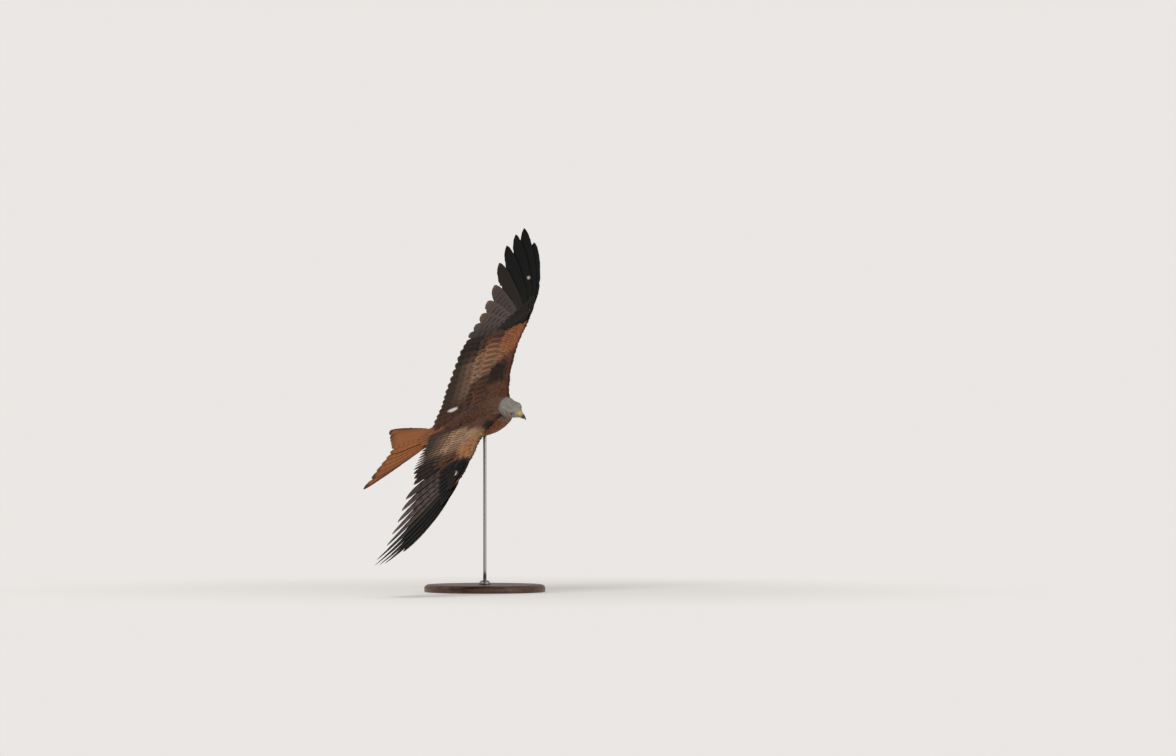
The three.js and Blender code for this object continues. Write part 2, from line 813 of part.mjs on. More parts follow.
function baseSolid() {
  const profile = [
    new THREE.Vector2(0, 0),
    new THREE.Vector2(BASE_RADIUS - 3, 0),
    new THREE.Vector2(BASE_RADIUS, 3),
    new THREE.Vector2(BASE_RADIUS, BASE_THICK - 8),
    new THREE.Vector2(BASE_RADIUS - 4, BASE_THICK - 2.5),
    new THREE.Vector2(BASE_RADIUS - 11, BASE_THICK),
    new THREE.Vector2(0, BASE_THICK),
  ];
  const geometry = new THREE.LatheGeometry(profile, 36);
  geometry.rotateX(Math.PI / 2);
  return solidOfGeometry(geometry);
}

function cylinderUp(radius, from, to, sides) {
  const geometry = new THREE.CylinderGeometry(radius, radius, to - from, sides);
  geometry.rotateX(Math.PI / 2);
  geometry.translate(0, 0, (from + to) / 2);
  return solidOfGeometry(geometry);
}

function collarSolid() {
  const ring = [
    new THREE.Vector2(ROD_RADIUS + GAP, BASE_THICK + GAP),
    new THREE.Vector2(COLLAR_RADIUS, BASE_THICK + GAP),
    new THREE.Vector2(COLLAR_RADIUS, BASE_THICK + 4),
    new THREE.Vector2(COLLAR_RADIUS - 6, BASE_THICK + COLLAR_HEIGHT),
    new THREE.Vector2(ROD_RADIUS + GAP, BASE_THICK + COLLAR_HEIGHT),
    new THREE.Vector2(ROD_RADIUS + GAP, BASE_THICK + GAP),
  ];
  const geometry = new THREE.LatheGeometry(ring, 18);
  geometry.rotateX(Math.PI / 2);
  return solidOfGeometry(geometry);
}

// Putting the part together

const bird = new THREE.Group();
bird.rotation.set(rad(BANK_DEG), rad(-CLIMB_DEG), rad(HEADING_DEG), "ZYX");
bird.position.copy(
  new THREE.Vector3(-ROD_AHEAD, 0, 0).applyEuler(bird.rotation).add(new THREE.Vector3(0, 0, BODY_HEIGHT)),
);
bird.updateMatrixWorld(true);
const toBird = bird.matrixWorld.clone().invert();

const rodTop = (() => {
  // Where the rod's line leaves the belly, found by walking up it.
  const torso = torsoSkin();
  for (let z = BODY_HEIGHT - 140; z < BODY_HEIGHT; z += 0.5) {
    const slice = moved(cylinderUp(ROD_RADIUS, z, z + 0.5, 8), toBird);
    if (torso.intersect(slice).volume() > 0) return z + ROD_SINK;
  }
  return BODY_HEIGHT;
})();

const rodHole = moved(cylinderUp(ROD_RADIUS + GAP, 0, rodTop + GAP, 16), toBird);
const torso = largest(torsoSkin().subtract(rodHole));

function material(colour, roughness, metalness = 0) {
  return new THREE.MeshStandardMaterial({ color: colour, roughness, metalness, flatShading: true });
}

const rufous = material(0x6b3a22, 0.9);
const greyHead = material(0x9a978c, 0.9);
const darkWing = material(0x2a2320, 0.8);
const orangeTail = material(0xa2542a, 0.8);
const trousers = material(0x8a4a28, 0.9);
const yellowSkin = material(0xd8b13a, 0.55);
const horn = material(0x2b2a2c, 0.4);
const iris = material(0xd9c36a, 0.15);
const steel = material(0x9a9c9e, 0.35, 1);
const wood = material(0x3b2a20, 0.5);

function meshOf(name, solid, finish) {
  const { vertProperties, triVerts } = solid.getMesh();
  const geometry = new THREE.BufferGeometry();
  geometry.setAttribute("position", new THREE.Float32BufferAttribute(vertProperties, 3));
  geometry.setIndex(Array.from(triVerts));
  geometry.computeVertexNormals();
  const mesh = new THREE.Mesh(geometry, finish);
  mesh.name = name;
  return mesh;
}

bird.add(meshOf("torso", torso, rufous));
bird.add(meshOf("neck", neckSkin(), rufous));
bird.add(meshOf("wing_left", wingSolid(LEFT_WING), darkWing));
bird.add(meshOf("wing_right", wingSolid(RIGHT_WING), darkWing));
bird.add(meshOf("tail", tailSolid(), orangeTail));

const head = new THREE.Group();
head.applyMatrix4(headFrame);
head.add(meshOf("head", headSolid(), greyHead));
head.add(meshOf("cere", cereSolid(), yellowSkin));
head.add(meshOf("bill_upper", billSkin(UPPER_BILL), horn));
head.add(meshOf("bill_lower", billSkin(LOWER_BILL), horn));
for (const [side, word] of [[1, "left"], [-1, "right"]]) {
  const eye = new THREE.Vector3(EYE.x, side * EYE.y, EYE.z);
  head.add(meshOf(`eye_${word}`, ball(eye, new THREE.Vector3(EYE.r, EYE.r, EYE.r), 14, 8), iris));
}
bird.add(head);

for (const [side, word] of [[1, "left"], [-1, "right"]]) {
  bird.add(meshOf(`thigh_${word}`, thighSolid(side), trousers));
  bird.add(meshOf(`foot_${word}`, footSolid(side), yellowSkin));
  TOES.forEach((toe, i) => bird.add(meshOf(`claw_${word}_${i + 1}`, clawSolid(side, toe), horn)));
}

const part = new THREE.Group();
part.add(bird);
part.add(meshOf("stand_base", baseSolid(), wood));
part.add(meshOf("stand_collar", collarSolid(), steel));
part.add(meshOf("stand_rod", cylinderUp(ROD_RADIUS, BASE_THICK + GAP, rodTop, 16), steel));

export default part;
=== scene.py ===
import math
import bpy
import numpy as np
from mathutils import Euler, Matrix, Vector
from mathutils.bvhtree import BVHTree
from mathutils.kdtree import KDTree


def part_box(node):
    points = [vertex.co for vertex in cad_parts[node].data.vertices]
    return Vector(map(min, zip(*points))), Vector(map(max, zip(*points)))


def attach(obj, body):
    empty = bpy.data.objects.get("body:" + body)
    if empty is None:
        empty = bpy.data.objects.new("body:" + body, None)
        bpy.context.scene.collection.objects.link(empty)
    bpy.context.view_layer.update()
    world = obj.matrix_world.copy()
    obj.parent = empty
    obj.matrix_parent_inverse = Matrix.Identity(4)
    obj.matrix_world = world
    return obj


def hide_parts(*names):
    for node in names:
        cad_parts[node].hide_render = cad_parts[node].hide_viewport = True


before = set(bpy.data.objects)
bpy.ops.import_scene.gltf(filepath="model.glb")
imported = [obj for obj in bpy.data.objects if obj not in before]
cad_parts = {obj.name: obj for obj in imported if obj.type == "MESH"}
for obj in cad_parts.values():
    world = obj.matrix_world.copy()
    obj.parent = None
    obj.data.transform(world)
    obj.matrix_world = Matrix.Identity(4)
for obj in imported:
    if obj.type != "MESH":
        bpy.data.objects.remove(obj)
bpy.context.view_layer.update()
print("frame loaded")

rng = np.random.default_rng(41)
mm = 0.001
bothSides = ((1, "left"), (-1, "right"))

# How the bird is held on its rod
stance = {"climb": 17.3, "bank": 37.9, "heading": -33.5, "bodyHeight": 520.0, "rodAhead": 12.0}


def birdMatrix():
    angles = [math.radians(stance["bank"]), math.radians(-stance["climb"]), math.radians(stance["heading"])]
    turn = Euler(angles, "XYZ").to_matrix()
    origin = turn @ Vector((-stance["rodAhead"], 0, 0)) + Vector((0, 0, stance["bodyHeight"]))
    return Matrix.LocRotScale(origin * mm, turn, Vector((mm, mm, mm)))


toWorld = birdMatrix()


def carried(points, matrix):
    return np.asarray(points, float) @ matrix[:3, :3].T + matrix[:3, 3]


def toRow(points):
    return carried(np.reshape(points, (-1, 3)), np.array(toWorld))


def smoothStep(x, low, high):
    t = np.clip((np.asarray(x, float) - low) / (high - low), 0, 1)
    return t * t * (3 - 2 * t)


def between(table, x):
    rows = np.array(table, float)
    return np.interp(x, rows[:, 0], rows[:, 1])


def curveThrough(stations, places):
    # A smooth curve through rows of [place, value, value...], read at the given places.
    rows = np.array(stations, float)
    x = rows[:, 0]
    slopes = np.gradient(rows[:, 1:], x, axis=0)
    k = np.clip(np.searchsorted(x, places, side="right") - 1, 0, len(x) - 2)
    width = (x[k + 1] - x[k])[:, None]
    t = ((np.asarray(places, float) - x[k]) / (x[k + 1] - x[k]))[:, None]
    start, end = (2 * t**3 - 3 * t**2 + 1) * rows[k, 1:], (3 * t**2 - 2 * t**3) * rows[k + 1, 1:]
    leave, arrive = (t**3 - 2 * t**2 + t) * (slopes[k] * width), (t**3 - t**2) * (slopes[k + 1] * width)
    return start + leave + end + arrive


def circle(sides):
    return np.linspace(0, 2 * np.pi, sides, endpoint=False)


def unit(rows, least=1e-6):
    return rows / np.maximum(np.linalg.norm(rows, axis=1), least)[:, None]


def linear(hexColour):
    parts = np.array([int(hexColour[i : i + 2], 16) / 255 for i in (0, 2, 4)])
    return np.where(parts <= 0.04045, parts / 12.92, ((parts + 0.055) / 1.055) ** 2.4)


def mixColour(a, b, share):
    # Each colour is an array or a name in tones.
    a, b = (tones[colour] if isinstance(colour, str) else np.asarray(colour) for colour in (a, b))
    share = np.asarray(share)[..., None]
    return a * (1 - share) + b * share


# Meshes


def linked(name, data):
    made = bpy.data.objects.new(name, data)
    bpy.context.scene.collection.objects.link(made)
    return made


def readOut(items, key, kind=np.float32, width=1):
    values = np.empty(len(items) * width, kind)
    items.foreach_get(key, values)
    return values if width == 1 else values.reshape(-1, width)


def setValues(mesh, name, values):
    # One colour or one number a point, for the material to read.
    values = np.asarray(values, np.float32)
    if values.ndim == 2:
        rgba = np.ones((len(values), 4), np.float32)
        rgba[:, :3] = values
        mesh.attributes.new(name, "FLOAT_COLOR", "POINT").data.foreach_set("color", rgba.ravel())
    else:
        mesh.attributes.new(name, "FLOAT", "POINT").data.foreach_set("value", values)


def setMap(mesh, uv):
    mesh.uv_layers.new(name="OFBake").data.foreach_set("uv", np.asarray(uv, np.float32).ravel())


def ringFaces(rows, columns):
    # Quads between the rings of a tube.
    r = np.arange(rows - 1)[:, None] * columns
    c = np.arange(columns)[None, :]
    a, b = r + c, r + (c + 1) % columns
    return np.stack([a, b, b + columns, a + columns], -1).reshape(-1, 4)


def fused(name, tubes, onBird=True):
    # One smooth mesh of tubes of rings [row, side, xyz], each closed by a point at either end.
    points, faces = [], []
    start = 0
    for tube in tubes:
        rows, columns, _ = tube.shape
        c = np.arange(columns)
        n = (c + 1) % columns
        first = rows * columns
        caps = [np.stack([c * 0 + first, n, c], -1), np.stack([c * 0 + first + 1, c, n], -1)]
        caps[1][:, 1:] += first - columns
        for part in (ringFaces(rows, columns), *caps):
            faces += (part + start).tolist()
        points += [tube.reshape(-1, 3), tube[0].mean(0), tube[-1].mean(0)]
        start += first + 2
    mesh = bpy.data.meshes.new(name)
    points = np.vstack(points)
    mesh.from_pydata((toRow(points) if onBird else points).tolist(), [], faces)
    mesh.polygons.foreach_set("use_smooth", np.ones(len(mesh.polygons), bool))
    mesh.update()
    return mesh


def finished(mesh, finish, slotName, *nodes):
    # Puts the mesh in the scene as one piece, with its material, and hides the solids it stands for.
    mesh.materials.append(finish)
    piece = linked(mesh.name, mesh)
    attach(piece, "root")
    if nodes:
        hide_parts(*nodes)
    return piece


# Shader parts that several materials share


def nodeTree(name):
    made = bpy.data.materials.new(name)
    made.use_nodes = True
    return made, made.node_tree, made.node_tree.nodes["Principled BSDF"]


def feed(tree, sockets, values):
    # Sets each socket to a value, or links it to another node's output.
    for key, value in values.items():
        if isinstance(value, bpy.types.NodeSocket):
            tree.links.new(value, sockets[key])
        else:
            sockets[key].default_value = value


def addNode(tree, kind, **settings):
    node = tree.nodes.new("ShaderNode" + kind)
    for key, value in settings.items():
        if key in node.inputs.keys():
            feed(tree, node.inputs, {key: value})
        else:
            setattr(node, key, value)
    return node


def maths(tree, operation, *values):
    node = addNode(tree, "Math", operation=operation)
    feed(tree, node.inputs, dict(enumerate(values)))
    return node.outputs[0]


def scaled(tree, value, by, plus):
    return maths(tree, "ADD", maths(tree, "MULTIPLY", value, by), plus)


def kept(tree, name, output="Fac"):
    # What the mesh keeps at each point under this name.
    return addNode(tree, "Attribute", attribute_name=name).outputs[output]


def dimmed(tree, colour, scale):
    return addNode(tree, "VectorMath", operation="SCALE", Vector=colour, Scale=scale).outputs[0]


def bumped(tree, height, strength, distance):
    return addNode(tree, "Bump", Strength=strength, Distance=distance, Height=height).outputs["Normal"]


def noise(tree, stretch=None, **settings):
    place = addNode(tree, "TexCoord").outputs["Object"]
    if stretch:
        place = addNode(tree, "Mapping", Scale=stretch, Vector=place).outputs["Vector"]
    return addNode(tree, "TexNoise", Vector=place, **settings).outputs["Fac"]


def barbGroup():
    # Fine barbs running out and forward from the shaft, the shaft itself, and a soft mottling.
    group = bpy.data.node_groups.new("barbs", "ShaderNodeTree")
    ways = {"INPUT": ("Colour", "Barbs", "Depth", "Mottle"), "OUTPUT": ("Colour", "Height", "Roughness")}
    for way, names in ways.items():
        for name in names:
            kind = "NodeSocketColor" if name == "Colour" else "NodeSocketFloat"
            group.interface.new_socket(name, in_out=way, socket_type=kind)
    enter = group.nodes.new("NodeGroupInput").outputs
    leave = group.nodes.new("NodeGroupOutput").inputs

    def times(a, b):
        return maths(group, "MULTIPLY", a, b)

    def plus(a, b):
        return maths(group, "ADD", a, b)

    along, across, reach, seed = (kept(group, name) for name in ("along", "across", "reach", "seed"))
    side = maths(group, "ABSOLUTE", across)
    forward = maths(group, "SUBTRACT", times(along, reach), times(side, 9.0))
    wave = maths(group, "SINE", plus(times(forward, enter["Barbs"]), times(seed, 40.0)))
    spot = addNode(group, "CombineXYZ", X=times(forward, 0.42), Y=plus(times(across, 0.8), times(seed, 37.0)))
    clump = addNode(group, "TexNoise", noise_dimensions="2D", Scale=1.0, Detail=3.0, Vector=spot.outputs[0])
    clump = clump.outputs["Fac"]
    shaft = maths(group, "SUBTRACT", 1.0, maths(group, "SMOOTH_MIN", times(side, 16.0), 1.0))
    ridge = times(plus(wave, times(clump, 1.6)), enter["Depth"])
    lift = plus(times(maths(group, "SUBTRACT", clump, 0.5), enter["Mottle"]), 1.0)
    tone = times(plus(times(wave, 0.05), lift), plus(times(shaft, -0.25), 1.0))
    colour = dimmed(group, enter["Colour"], tone)
    rough = plus(times(clump, 0.16), 0.62)
    feed(group, leave, {"Colour": colour, "Height": plus(ridge, times(shaft, 0.4)), "Roughness": rough})
    return group


barbs = barbGroup()


def plumageMaterial(name, barbCount, depth, mottle, sheen):
    made, tree, shader = nodeTree(name)
    settings = {"Barbs": barbCount, "Depth": depth, "Mottle": mottle, "Colour": kept(tree, "pelt", "Color")}
    group = addNode(tree, "Group", node_tree=barbs, **settings).outputs
    looks = {"Specular IOR Level": 0.12, "Sheen Weight": sheen, "Sheen Roughness": 0.5}
    looks.update({"Base Color": group["Colour"], "Roughness": group["Roughness"]})
    feed(tree, shader.inputs, {**looks, "Normal": bumped(tree, group["Height"], 0.3, 0.00025)})
    return made


flightFinish = plumageMaterial("flight feathers", 7.0, 0.35, 0.4, 0.02)
covertFinish = plumageMaterial("covert feathers", 7.0, 0.35, 0.5, 0.04)
bodyFinish = plumageMaterial("body feathers", 8.0, 0.3, 0.7, 0.06)


def skinMaterial():
    # The down under the feathers: the same colours as the coat, broken up finely.
    made, tree, shader = nodeTree("down")
    fluff = noise(tree, Scale=420.0, Detail=5.0, Roughness=0.7)
    down = dimmed(tree, kept(tree, "pelt", "Color"), scaled(tree, fluff, 0.7, 0.45))
    feed(tree, shader.inputs, {"Base Color": down, "Roughness": 0.9})
    feed(tree, shader.inputs, {"Normal": bumped(tree, fluff, 0.8, 0.001)})
    return made


downFinish = skinMaterial()
print("plumage materials made")

# Places on the bird

wings = {
    "left": {
        "side": 1, "armRise": 20.4, "handDrop": 29.6, "tipCurl": 1.58, "pitch": 5.5, "handPitch": 0.6,
        "sweep": 6.7, "fan": 0.71, "bend": -5.0,
    },
    "right": {
        "side": -1, "armRise": 10.2, "handDrop": 20.2, "tipCurl": 1.08, "pitch": 4.2, "handPitch": -5.6,
        "sweep": 10.5, "fan": 0.69, "bend": 5.0,
    },
}
wingForm = {
    "shoulder": (52.0, 43.0, 10.0), "wrist": (43.0, 254.0), "bend": (205.0, 305.0),
    "camberRadius": 1500.0, "rootLift": 9.0,
    "leading": [
        [-25, 44], [30, 34], [86, 31], [144, 37], [202, 50], [245, 64], [262, 67], [295, 61],
        [342, 49], [369, 32],
    ],
    "rear": [[-25, -75], [60, -62], [150, -48], [230, -30], [262, -12], [300, 4], [342, 15], [369, 27]],
    "depth": [[-25, 30], [30, 26], [90, 20], [160, 17], [240, 15], [262, 13], [300, 9], [342, 6], [369, 2.5]],
    "trailing": [[-10, -234], [48, -211], [115, -204], [192, -182], [278, -158]],
    "over": [[0, 0], [0.03, 0.2], [0.07, 0.3], [0.24, 0.52], [0.5, 0.5], [0.76, 0.34], [1, 0.1]],
    "under": [[0, 0], [0.03, -0.16], [0.1, -0.26], [0.45, -0.34], [0.76, -0.24], [1, -0.08]],
}


def armLines(y):
    # The arm's leading edge, rear edge and depth at places out from the shoulder.
    return [between(wingForm[line], y) for line in ("leading", "rear", "depth")]


def wingAngle(wing, out):
    drop = math.radians(wing["handDrop"]) * smoothStep(out, *wingForm["bend"])
    curl = wing["tipCurl"] * np.maximum(0, out - wingForm["bend"][1]) / 1000
    return math.radians(wing["armRise"]) - drop + curl


def wingPlace(points, wing):
    # Carries points of the flat wing (ahead, out, over) to the bird.
    p = np.asarray(points, float)
    step, furthest = 4.0, 1000
    outs = np.arange(0, furthest, step)
    mid = wingAngle(wing, outs + step / 2)
    rowY, rowZ = (np.concatenate([[0], np.cumsum(step * run(mid))[:-1]]) for run in (np.cos, np.sin))
    x, out = p[..., 0], np.maximum(0, p[..., 1])
    a = wingAngle(wing, out)
    y = np.interp(out, outs, rowY) + (p[..., 1] - out) * np.cos(a)
    z = np.interp(out, outs, rowZ) + (p[..., 1] - out) * np.sin(a)
    pitch = np.radians(wing["pitch"] + wing["handPitch"] * smoothStep(out, *wingForm["bend"]))
    behind = np.maximum(0, -x)
    lifted = wingForm["rootLift"] * (1 - smoothStep(p[..., 1], 10, 160)) * (behind / 200) ** 2
    height = p[..., 2] + x * x * np.sign(x) / (2 * wingForm["camberRadius"]) + lifted
    ahead = x * np.cos(pitch) + height * np.sin(pitch)
    over = -x * np.sin(pitch) + height * np.cos(pitch)
    rootX, rootY, rootZ = wingForm["shoulder"]
    side = wing["side"] * (rootY + y - over * np.sin(a))
    return np.stack([rootX + ahead, side, rootZ + z + over * np.cos(a)], -1)


tailForm = {
    "root": -120.0, "twist": 6.4, "drop": 2.6, "turn": -5.7, "spread": 19.8,
    "lengths": [240, 252, 267, 284, 302, 333],
    "inner": [14, 17, 18, 21, 24, 26],
    "layers": [5.2, 1.7, -1.5, -2.9, -4.2, -5.5],
    "overlap": [1.8, 1.7, 0, 0, 0, 0],
    "quill": 22,
}


def tailPlace(points):
    # Carries points of the flat tail (to its left, back, over) to the bird.
    p = np.asarray(points, float)
    twist = math.radians(tailForm["twist"]) * smoothStep(p[..., 1], 20, 200)
    sideways = p[..., 0] * np.cos(twist) - p[..., 2] * np.sin(twist)
    over = p[..., 0] * np.sin(twist) + p[..., 2] * np.cos(twist)
    drop, turn = math.radians(tailForm["drop"]), math.radians(tailForm["turn"])
    back = p[..., 1] * math.cos(drop)
    x = tailForm["root"] - back * math.cos(turn) - sideways * math.sin(turn)
    y = sideways * math.cos(turn) - back * math.sin(turn)
    return np.stack([x, y, 2 + over - p[..., 0] ** 2 / 2600 - p[..., 1] * math.sin(drop)], -1)


headForm = {
    "neckRoot": 86.0, "reach": 72.0, "rise": 8.0, "turn": -38.0, "dip": 14.0, "roll": -10.0,
    "eye": (8.5, 17.6, 6.5), "eyeRadius": 7.0,
}


def headMatrixOf(form):
    turn = math.radians(form["turn"])
    ahead, aside = form["reach"] * math.cos(turn), form["reach"] * math.sin(turn)
    angles = Euler((math.radians(form["roll"]), math.radians(form["dip"]), turn), "XYZ")
    return np.array(Matrix.LocRotScale(Vector((form["neckRoot"] + ahead, aside, form["rise"])), angles, None))


headMatrix = headMatrixOf(headForm)
headInverse = np.linalg.inv(headMatrix)


def headPlace(points):
    return carried(points, headMatrix)


def toHead(points):
    return carried(points, headInverse)


# Colours of the coat, the bill and the feet

tones = {
    "headPale": "aea99f", "headGrey": "79746b", "headDark": "3d342d",
    "mantle": "33201a", "mantleEdge": "693f29",
    # breast: the breast's rufous, darkened somewhat as painted shade for the underside of the body
    "breast": "7c4129", "breastDark": "33201a", "rump": "94502c", "vent": "b58a64", "tawny": "b98456",
    "tawnyDark": "4c3022", "forewing": "4a2f22", "forewingDark": "1f1713", "greater": "2b211d",
    "secondary": "231c1a", "innerPrimary": "51443e", "black": "090808",
    "tail": "8f5732", "tailDark": "4a2a1c",
    "tailUnder": "c09a7e", "window": "c9c3bb", "underGrey": "6d655e", "underRufous": "7b4329",
    "yellow": "c39f48", "paleYellow": "cdb56a", "horn": "2d2a2b", "claw": "1b191a", "foot": "cf9f35",
    # nostril: painted shade of the nostril openings
    "nostril": "1a1410", "gape": "c79a48", "lid": "4b423b", "lidEdge": "8f7232",
    "iris": "cfa64e", "irisRing": "3a2c16", "pupil": "050505",
}
tones = {name: linear(code) for name, code in tones.items()}


def bodyTone(points, normals):
    # Base, edge and streak colour of the coat at places on the skin.
    h = toHead(points)
    headShare = smoothStep(h[:, 0], -57, -24) * (1 - smoothStep(np.hypot(h[:, 1], h[:, 2]), 36, 46))
    up = smoothStep(normals[:, 2], -0.25, 0.45)
    front = smoothStep(points[:, 0], 20, 100)
    rear = smoothStep(-points[:, 0], 92, 132)
    # The underside takes the breast tone, which holds some painted shade
    base = mixColour("breast", "mantle", up)
    edge = mixColour(mixColour("breast", "tawny", 0.45), "mantleEdge", up)
    streak = mixColour("breastDark", "forewingDark", up)
    base = mixColour(base, mixColour("breast", "headGrey", 0.5), front * 0.45)
    base = mixColour(base, mixColour("vent", "rump", up), rear)
    edge = mixColour(edge, mixColour("vent", "tail", up), rear)
    face = smoothStep(h[:, 0], 5, 30) * headShare
    base = mixColour(mixColour(base, "headGrey", headShare), "headPale", face * 0.7)
    return base, mixColour(edge, "headPale", headShare), mixColour(streak, "headDark", headShare)


# The marks of each upper wing, laid flat: a tawny band from the wrist in and back over the arm,
# a dark patch ahead of it, and small pale spots
marks = {
    "left": {
        "band": ((48, 240), (-172, 88)), "half": (28, 52),
        # The band's colours are set apart for each wing, and this left band is darker than the right: the
        # difference is painted light and shade
        "outer": linear("a0633c"), "inner": linear("94725a"),
        "dark": (-20, 112, 54, 56), "spots": [(-164, 22, 20, 7), (-24, 556, 7, 4)],
    },
    "right": {
        "band": ((54, 206), (-110, 84)), "half": (50, 82),
        # Paler than the left band's colours: the difference is painted light and shade
        "outer": linear("b07a50"), "inner": linear("b08b6c"),
        "dark": (26, 62, 24, 30), "spots": [(28, 336, 4, 10)],
    },
}


def bandShare(x, y, mark, soft=0.0):
    start, end = (np.array(place, float) for place in mark["band"])
    run = end - start
    t = ((x - start[0]) * run[0] + (y - start[1]) * run[1]) / (run @ run)
    near = np.clip(t, -0.1, 1.0)
    gap = np.hypot(x - start[0] - near * run[0], y - start[1] - near * run[1])
    return 1 - smoothStep(gap, mark["half"][0], mark["half"][1] + soft), np.clip(t, 0, 1)


def bandColour(t, mark):
    return mixColour(mark["outer"], mark["inner"], smoothStep(t, 0.05, 0.7))


def spotted(colour, flat, mark):
    share = 0
    for atX, atY, along, out in mark["spots"]:
        far = np.hypot((flat[..., 0] - atX) / along, (flat[..., 1] - atY) / out)
        share = np.maximum(share, 1 - smoothStep(far, 0.72, 1.02))
    return mixColour(colour, "window", share)


def armTone(x, y, mark):
    # Base and edge colour of the coverts over the arm.
    band, t = bandShare(x, y, mark)
    darkX, darkY, darkAlong, darkOut = mark["dark"]
    dark = 1 - smoothStep(np.hypot((x - darkX) / darkAlong, (y - darkY) / darkOut), 0.5, 1.15)
    hand = smoothStep(y, 250, 310)
    base = mixColour(mixColour("forewing", "forewingDark", dark), "black", hand)
    edge = mixColour(mixColour("mantleEdge", "forewingDark", dark * 0.85), tones["black"] * 1.6, hand * 0.9)
    warm = bandColour(t, mark)
    return mixColour(base, warm * 0.6, band), mixColour(edge, warm * 1.1, band), band


# Vanes. Each is a closed ring of points carried along the shaft; many share one mesh.

# Places over and under each vane, from its leading edge (1) to its rear edge (-1)
rings = {
    "flight": ([1, 0.72, 0.38, 0.06, 0, -0.06, -0.38, -0.72, -1], [-0.6, -0.07, 0, 0.07, 0.6]),
    "covert": ([1, 0.55, 0.07, 0, -0.07, -0.55, -1], [-0.5, 0, 0.5]),
    "tuft": ([1, 0.45, 0, -0.45, -1], [0]),
}
# Rows of [place along the shaft, share of the width ahead of it, share behind it]
outlines = {
    "plain": [
        [0, 0.3, 0.25], [0.2, 0.75, 0.8], [0.52, 1, 1], [0.8, 0.94, 0.96],
        [0.9, 0.77, 0.8], [0.96, 0.52, 0.55],
        [0.99, 0.27, 0.28], [1, 0.05, 0.05],
    ],
    "finger": [
        [0, 0.3, 0.25], [0.12, 0.6, 0.75], [0.34, 1, 1], [0.52, 1, 1], [0.62, 0.92, 0.9], [0.84, 0.78, 0.78],
        [0.95, 0.5, 0.5], [0.985, 0.26, 0.26], [1, 0.05, 0.05],
    ],
    "covert": [
        [0, 0.4, 0.4], [0.4, 0.95, 0.95], [0.72, 0.94, 0.94], [0.87, 0.74, 0.74], [0.95, 0.46, 0.46],
        [0.99, 0.2, 0.2], [1, 0.05, 0.05],
    ],
}
vaneForm = {"thick": 0.32, "shaftWidth": 0.05, "splits": 3, "splitLength": 0.018, "patch": 0.003}


def across(ringName):
    over, under = rings[ringName]
    u = np.array(over + under, float)
    face = np.array([1.0] * len(over) + [-1.0] * len(under))
    rim = np.ones(len(u))
    rim[[0, len(over) - 1]] = 0
    return u, face, rim


def edgeShares(name, t, count, wear):
    # Share of the half width ahead of and behind the shaft, with worn and split places.
    made = np.repeat(curveThrough(outlines[name], t)[None], count, 0)
    made *= 1 + rng.normal(0, wear * 0.14, made.shape) * (t[None, :, None] > 0.12)
    for _ in range(vaneForm["splits"]):
        where = rng.uniform(0.3, 0.99, (count, 1, 2))
        cut = rng.uniform(0, wear, (count, 1, 2)) * (rng.random((count, 1, 2)) < 0.7)
        made *= 1 - cut * np.exp(-(((t[None, :, None] - where) / vaneForm["splitLength"]) ** 2))
    return np.maximum(made, 0.01)


def layVanes(vanes, rows, ringName, outline, place, wear, paint, uv, mirrored=False):
    # Lays vanes out flat, paints them and carries them by place. vanes has one value a vane of each kind;
    # paint takes t (vane, row, 1), u (1, 1, ring) and the flat points, and gives colours over and under.
    count = len(vanes["x"])
    t = 1 - (1 - np.linspace(0, 1, rows)) ** 1.25
    u, face, rim = across(ringName)

    def column(key, default=0.0):
        return np.broadcast_to(np.asarray(vanes.get(key, default), float), (count,))[:, None]

    heading = np.radians(column("angle") + column("curve") * t**2)
    step = np.diff(t, prepend=0) * column("length")
    alongX = column("x") + np.cumsum(np.sin(heading) * step, 1)
    alongY = column("y") + np.cumsum(np.cos(heading) * step, 1)
    share = edgeShares(outline, t, count, wear)
    widths = [(share[..., k] * column(key))[..., None] for k, key in enumerate(("ahead", "behind"))]
    offset = np.where(u > 0, u * widths[0], u * widths[1])
    rise = vanes["rise"](t[None, :] * column("length")) if "rise" in vanes else 0
    z = (
        (column("z") + rise)[..., None]
        + column("tilt", 0.1)[..., None] * offset
        + face * rim * (vaneForm["thick"] * (1 - 0.5 * t)[None, :, None])
        + face
        * (np.exp(-((u / vaneForm["shaftWidth"]) ** 2)) * (1 - 0.75 * t)[:, None] * vanes.get("shaft", 0.6))
        - column("cup", 0.6)[..., None] * u**2
    )
    x = alongX[..., None] + offset * np.cos(heading)[..., None]
    y = alongY[..., None] - offset * np.sin(heading)[..., None]
    flat = np.stack([x, y, z], -1)
    colours = paint(t[None, :, None], u[None, None, :], flat)
    if isinstance(colours, tuple):
        colours = np.where((face < 0)[:, None], colours[1], colours[0])
    turned = slice(None, None, -1 if mirrored else 1)
    return {
        "points": place(flat)[:, :, turned], "colours": np.broadcast_to(colours, flat.shape)[:, :, turned],
        "t": t, "u": u[turned], "lengths": column("length")[:, 0], "seeds": rng.random(count), "uv": uv,
    }


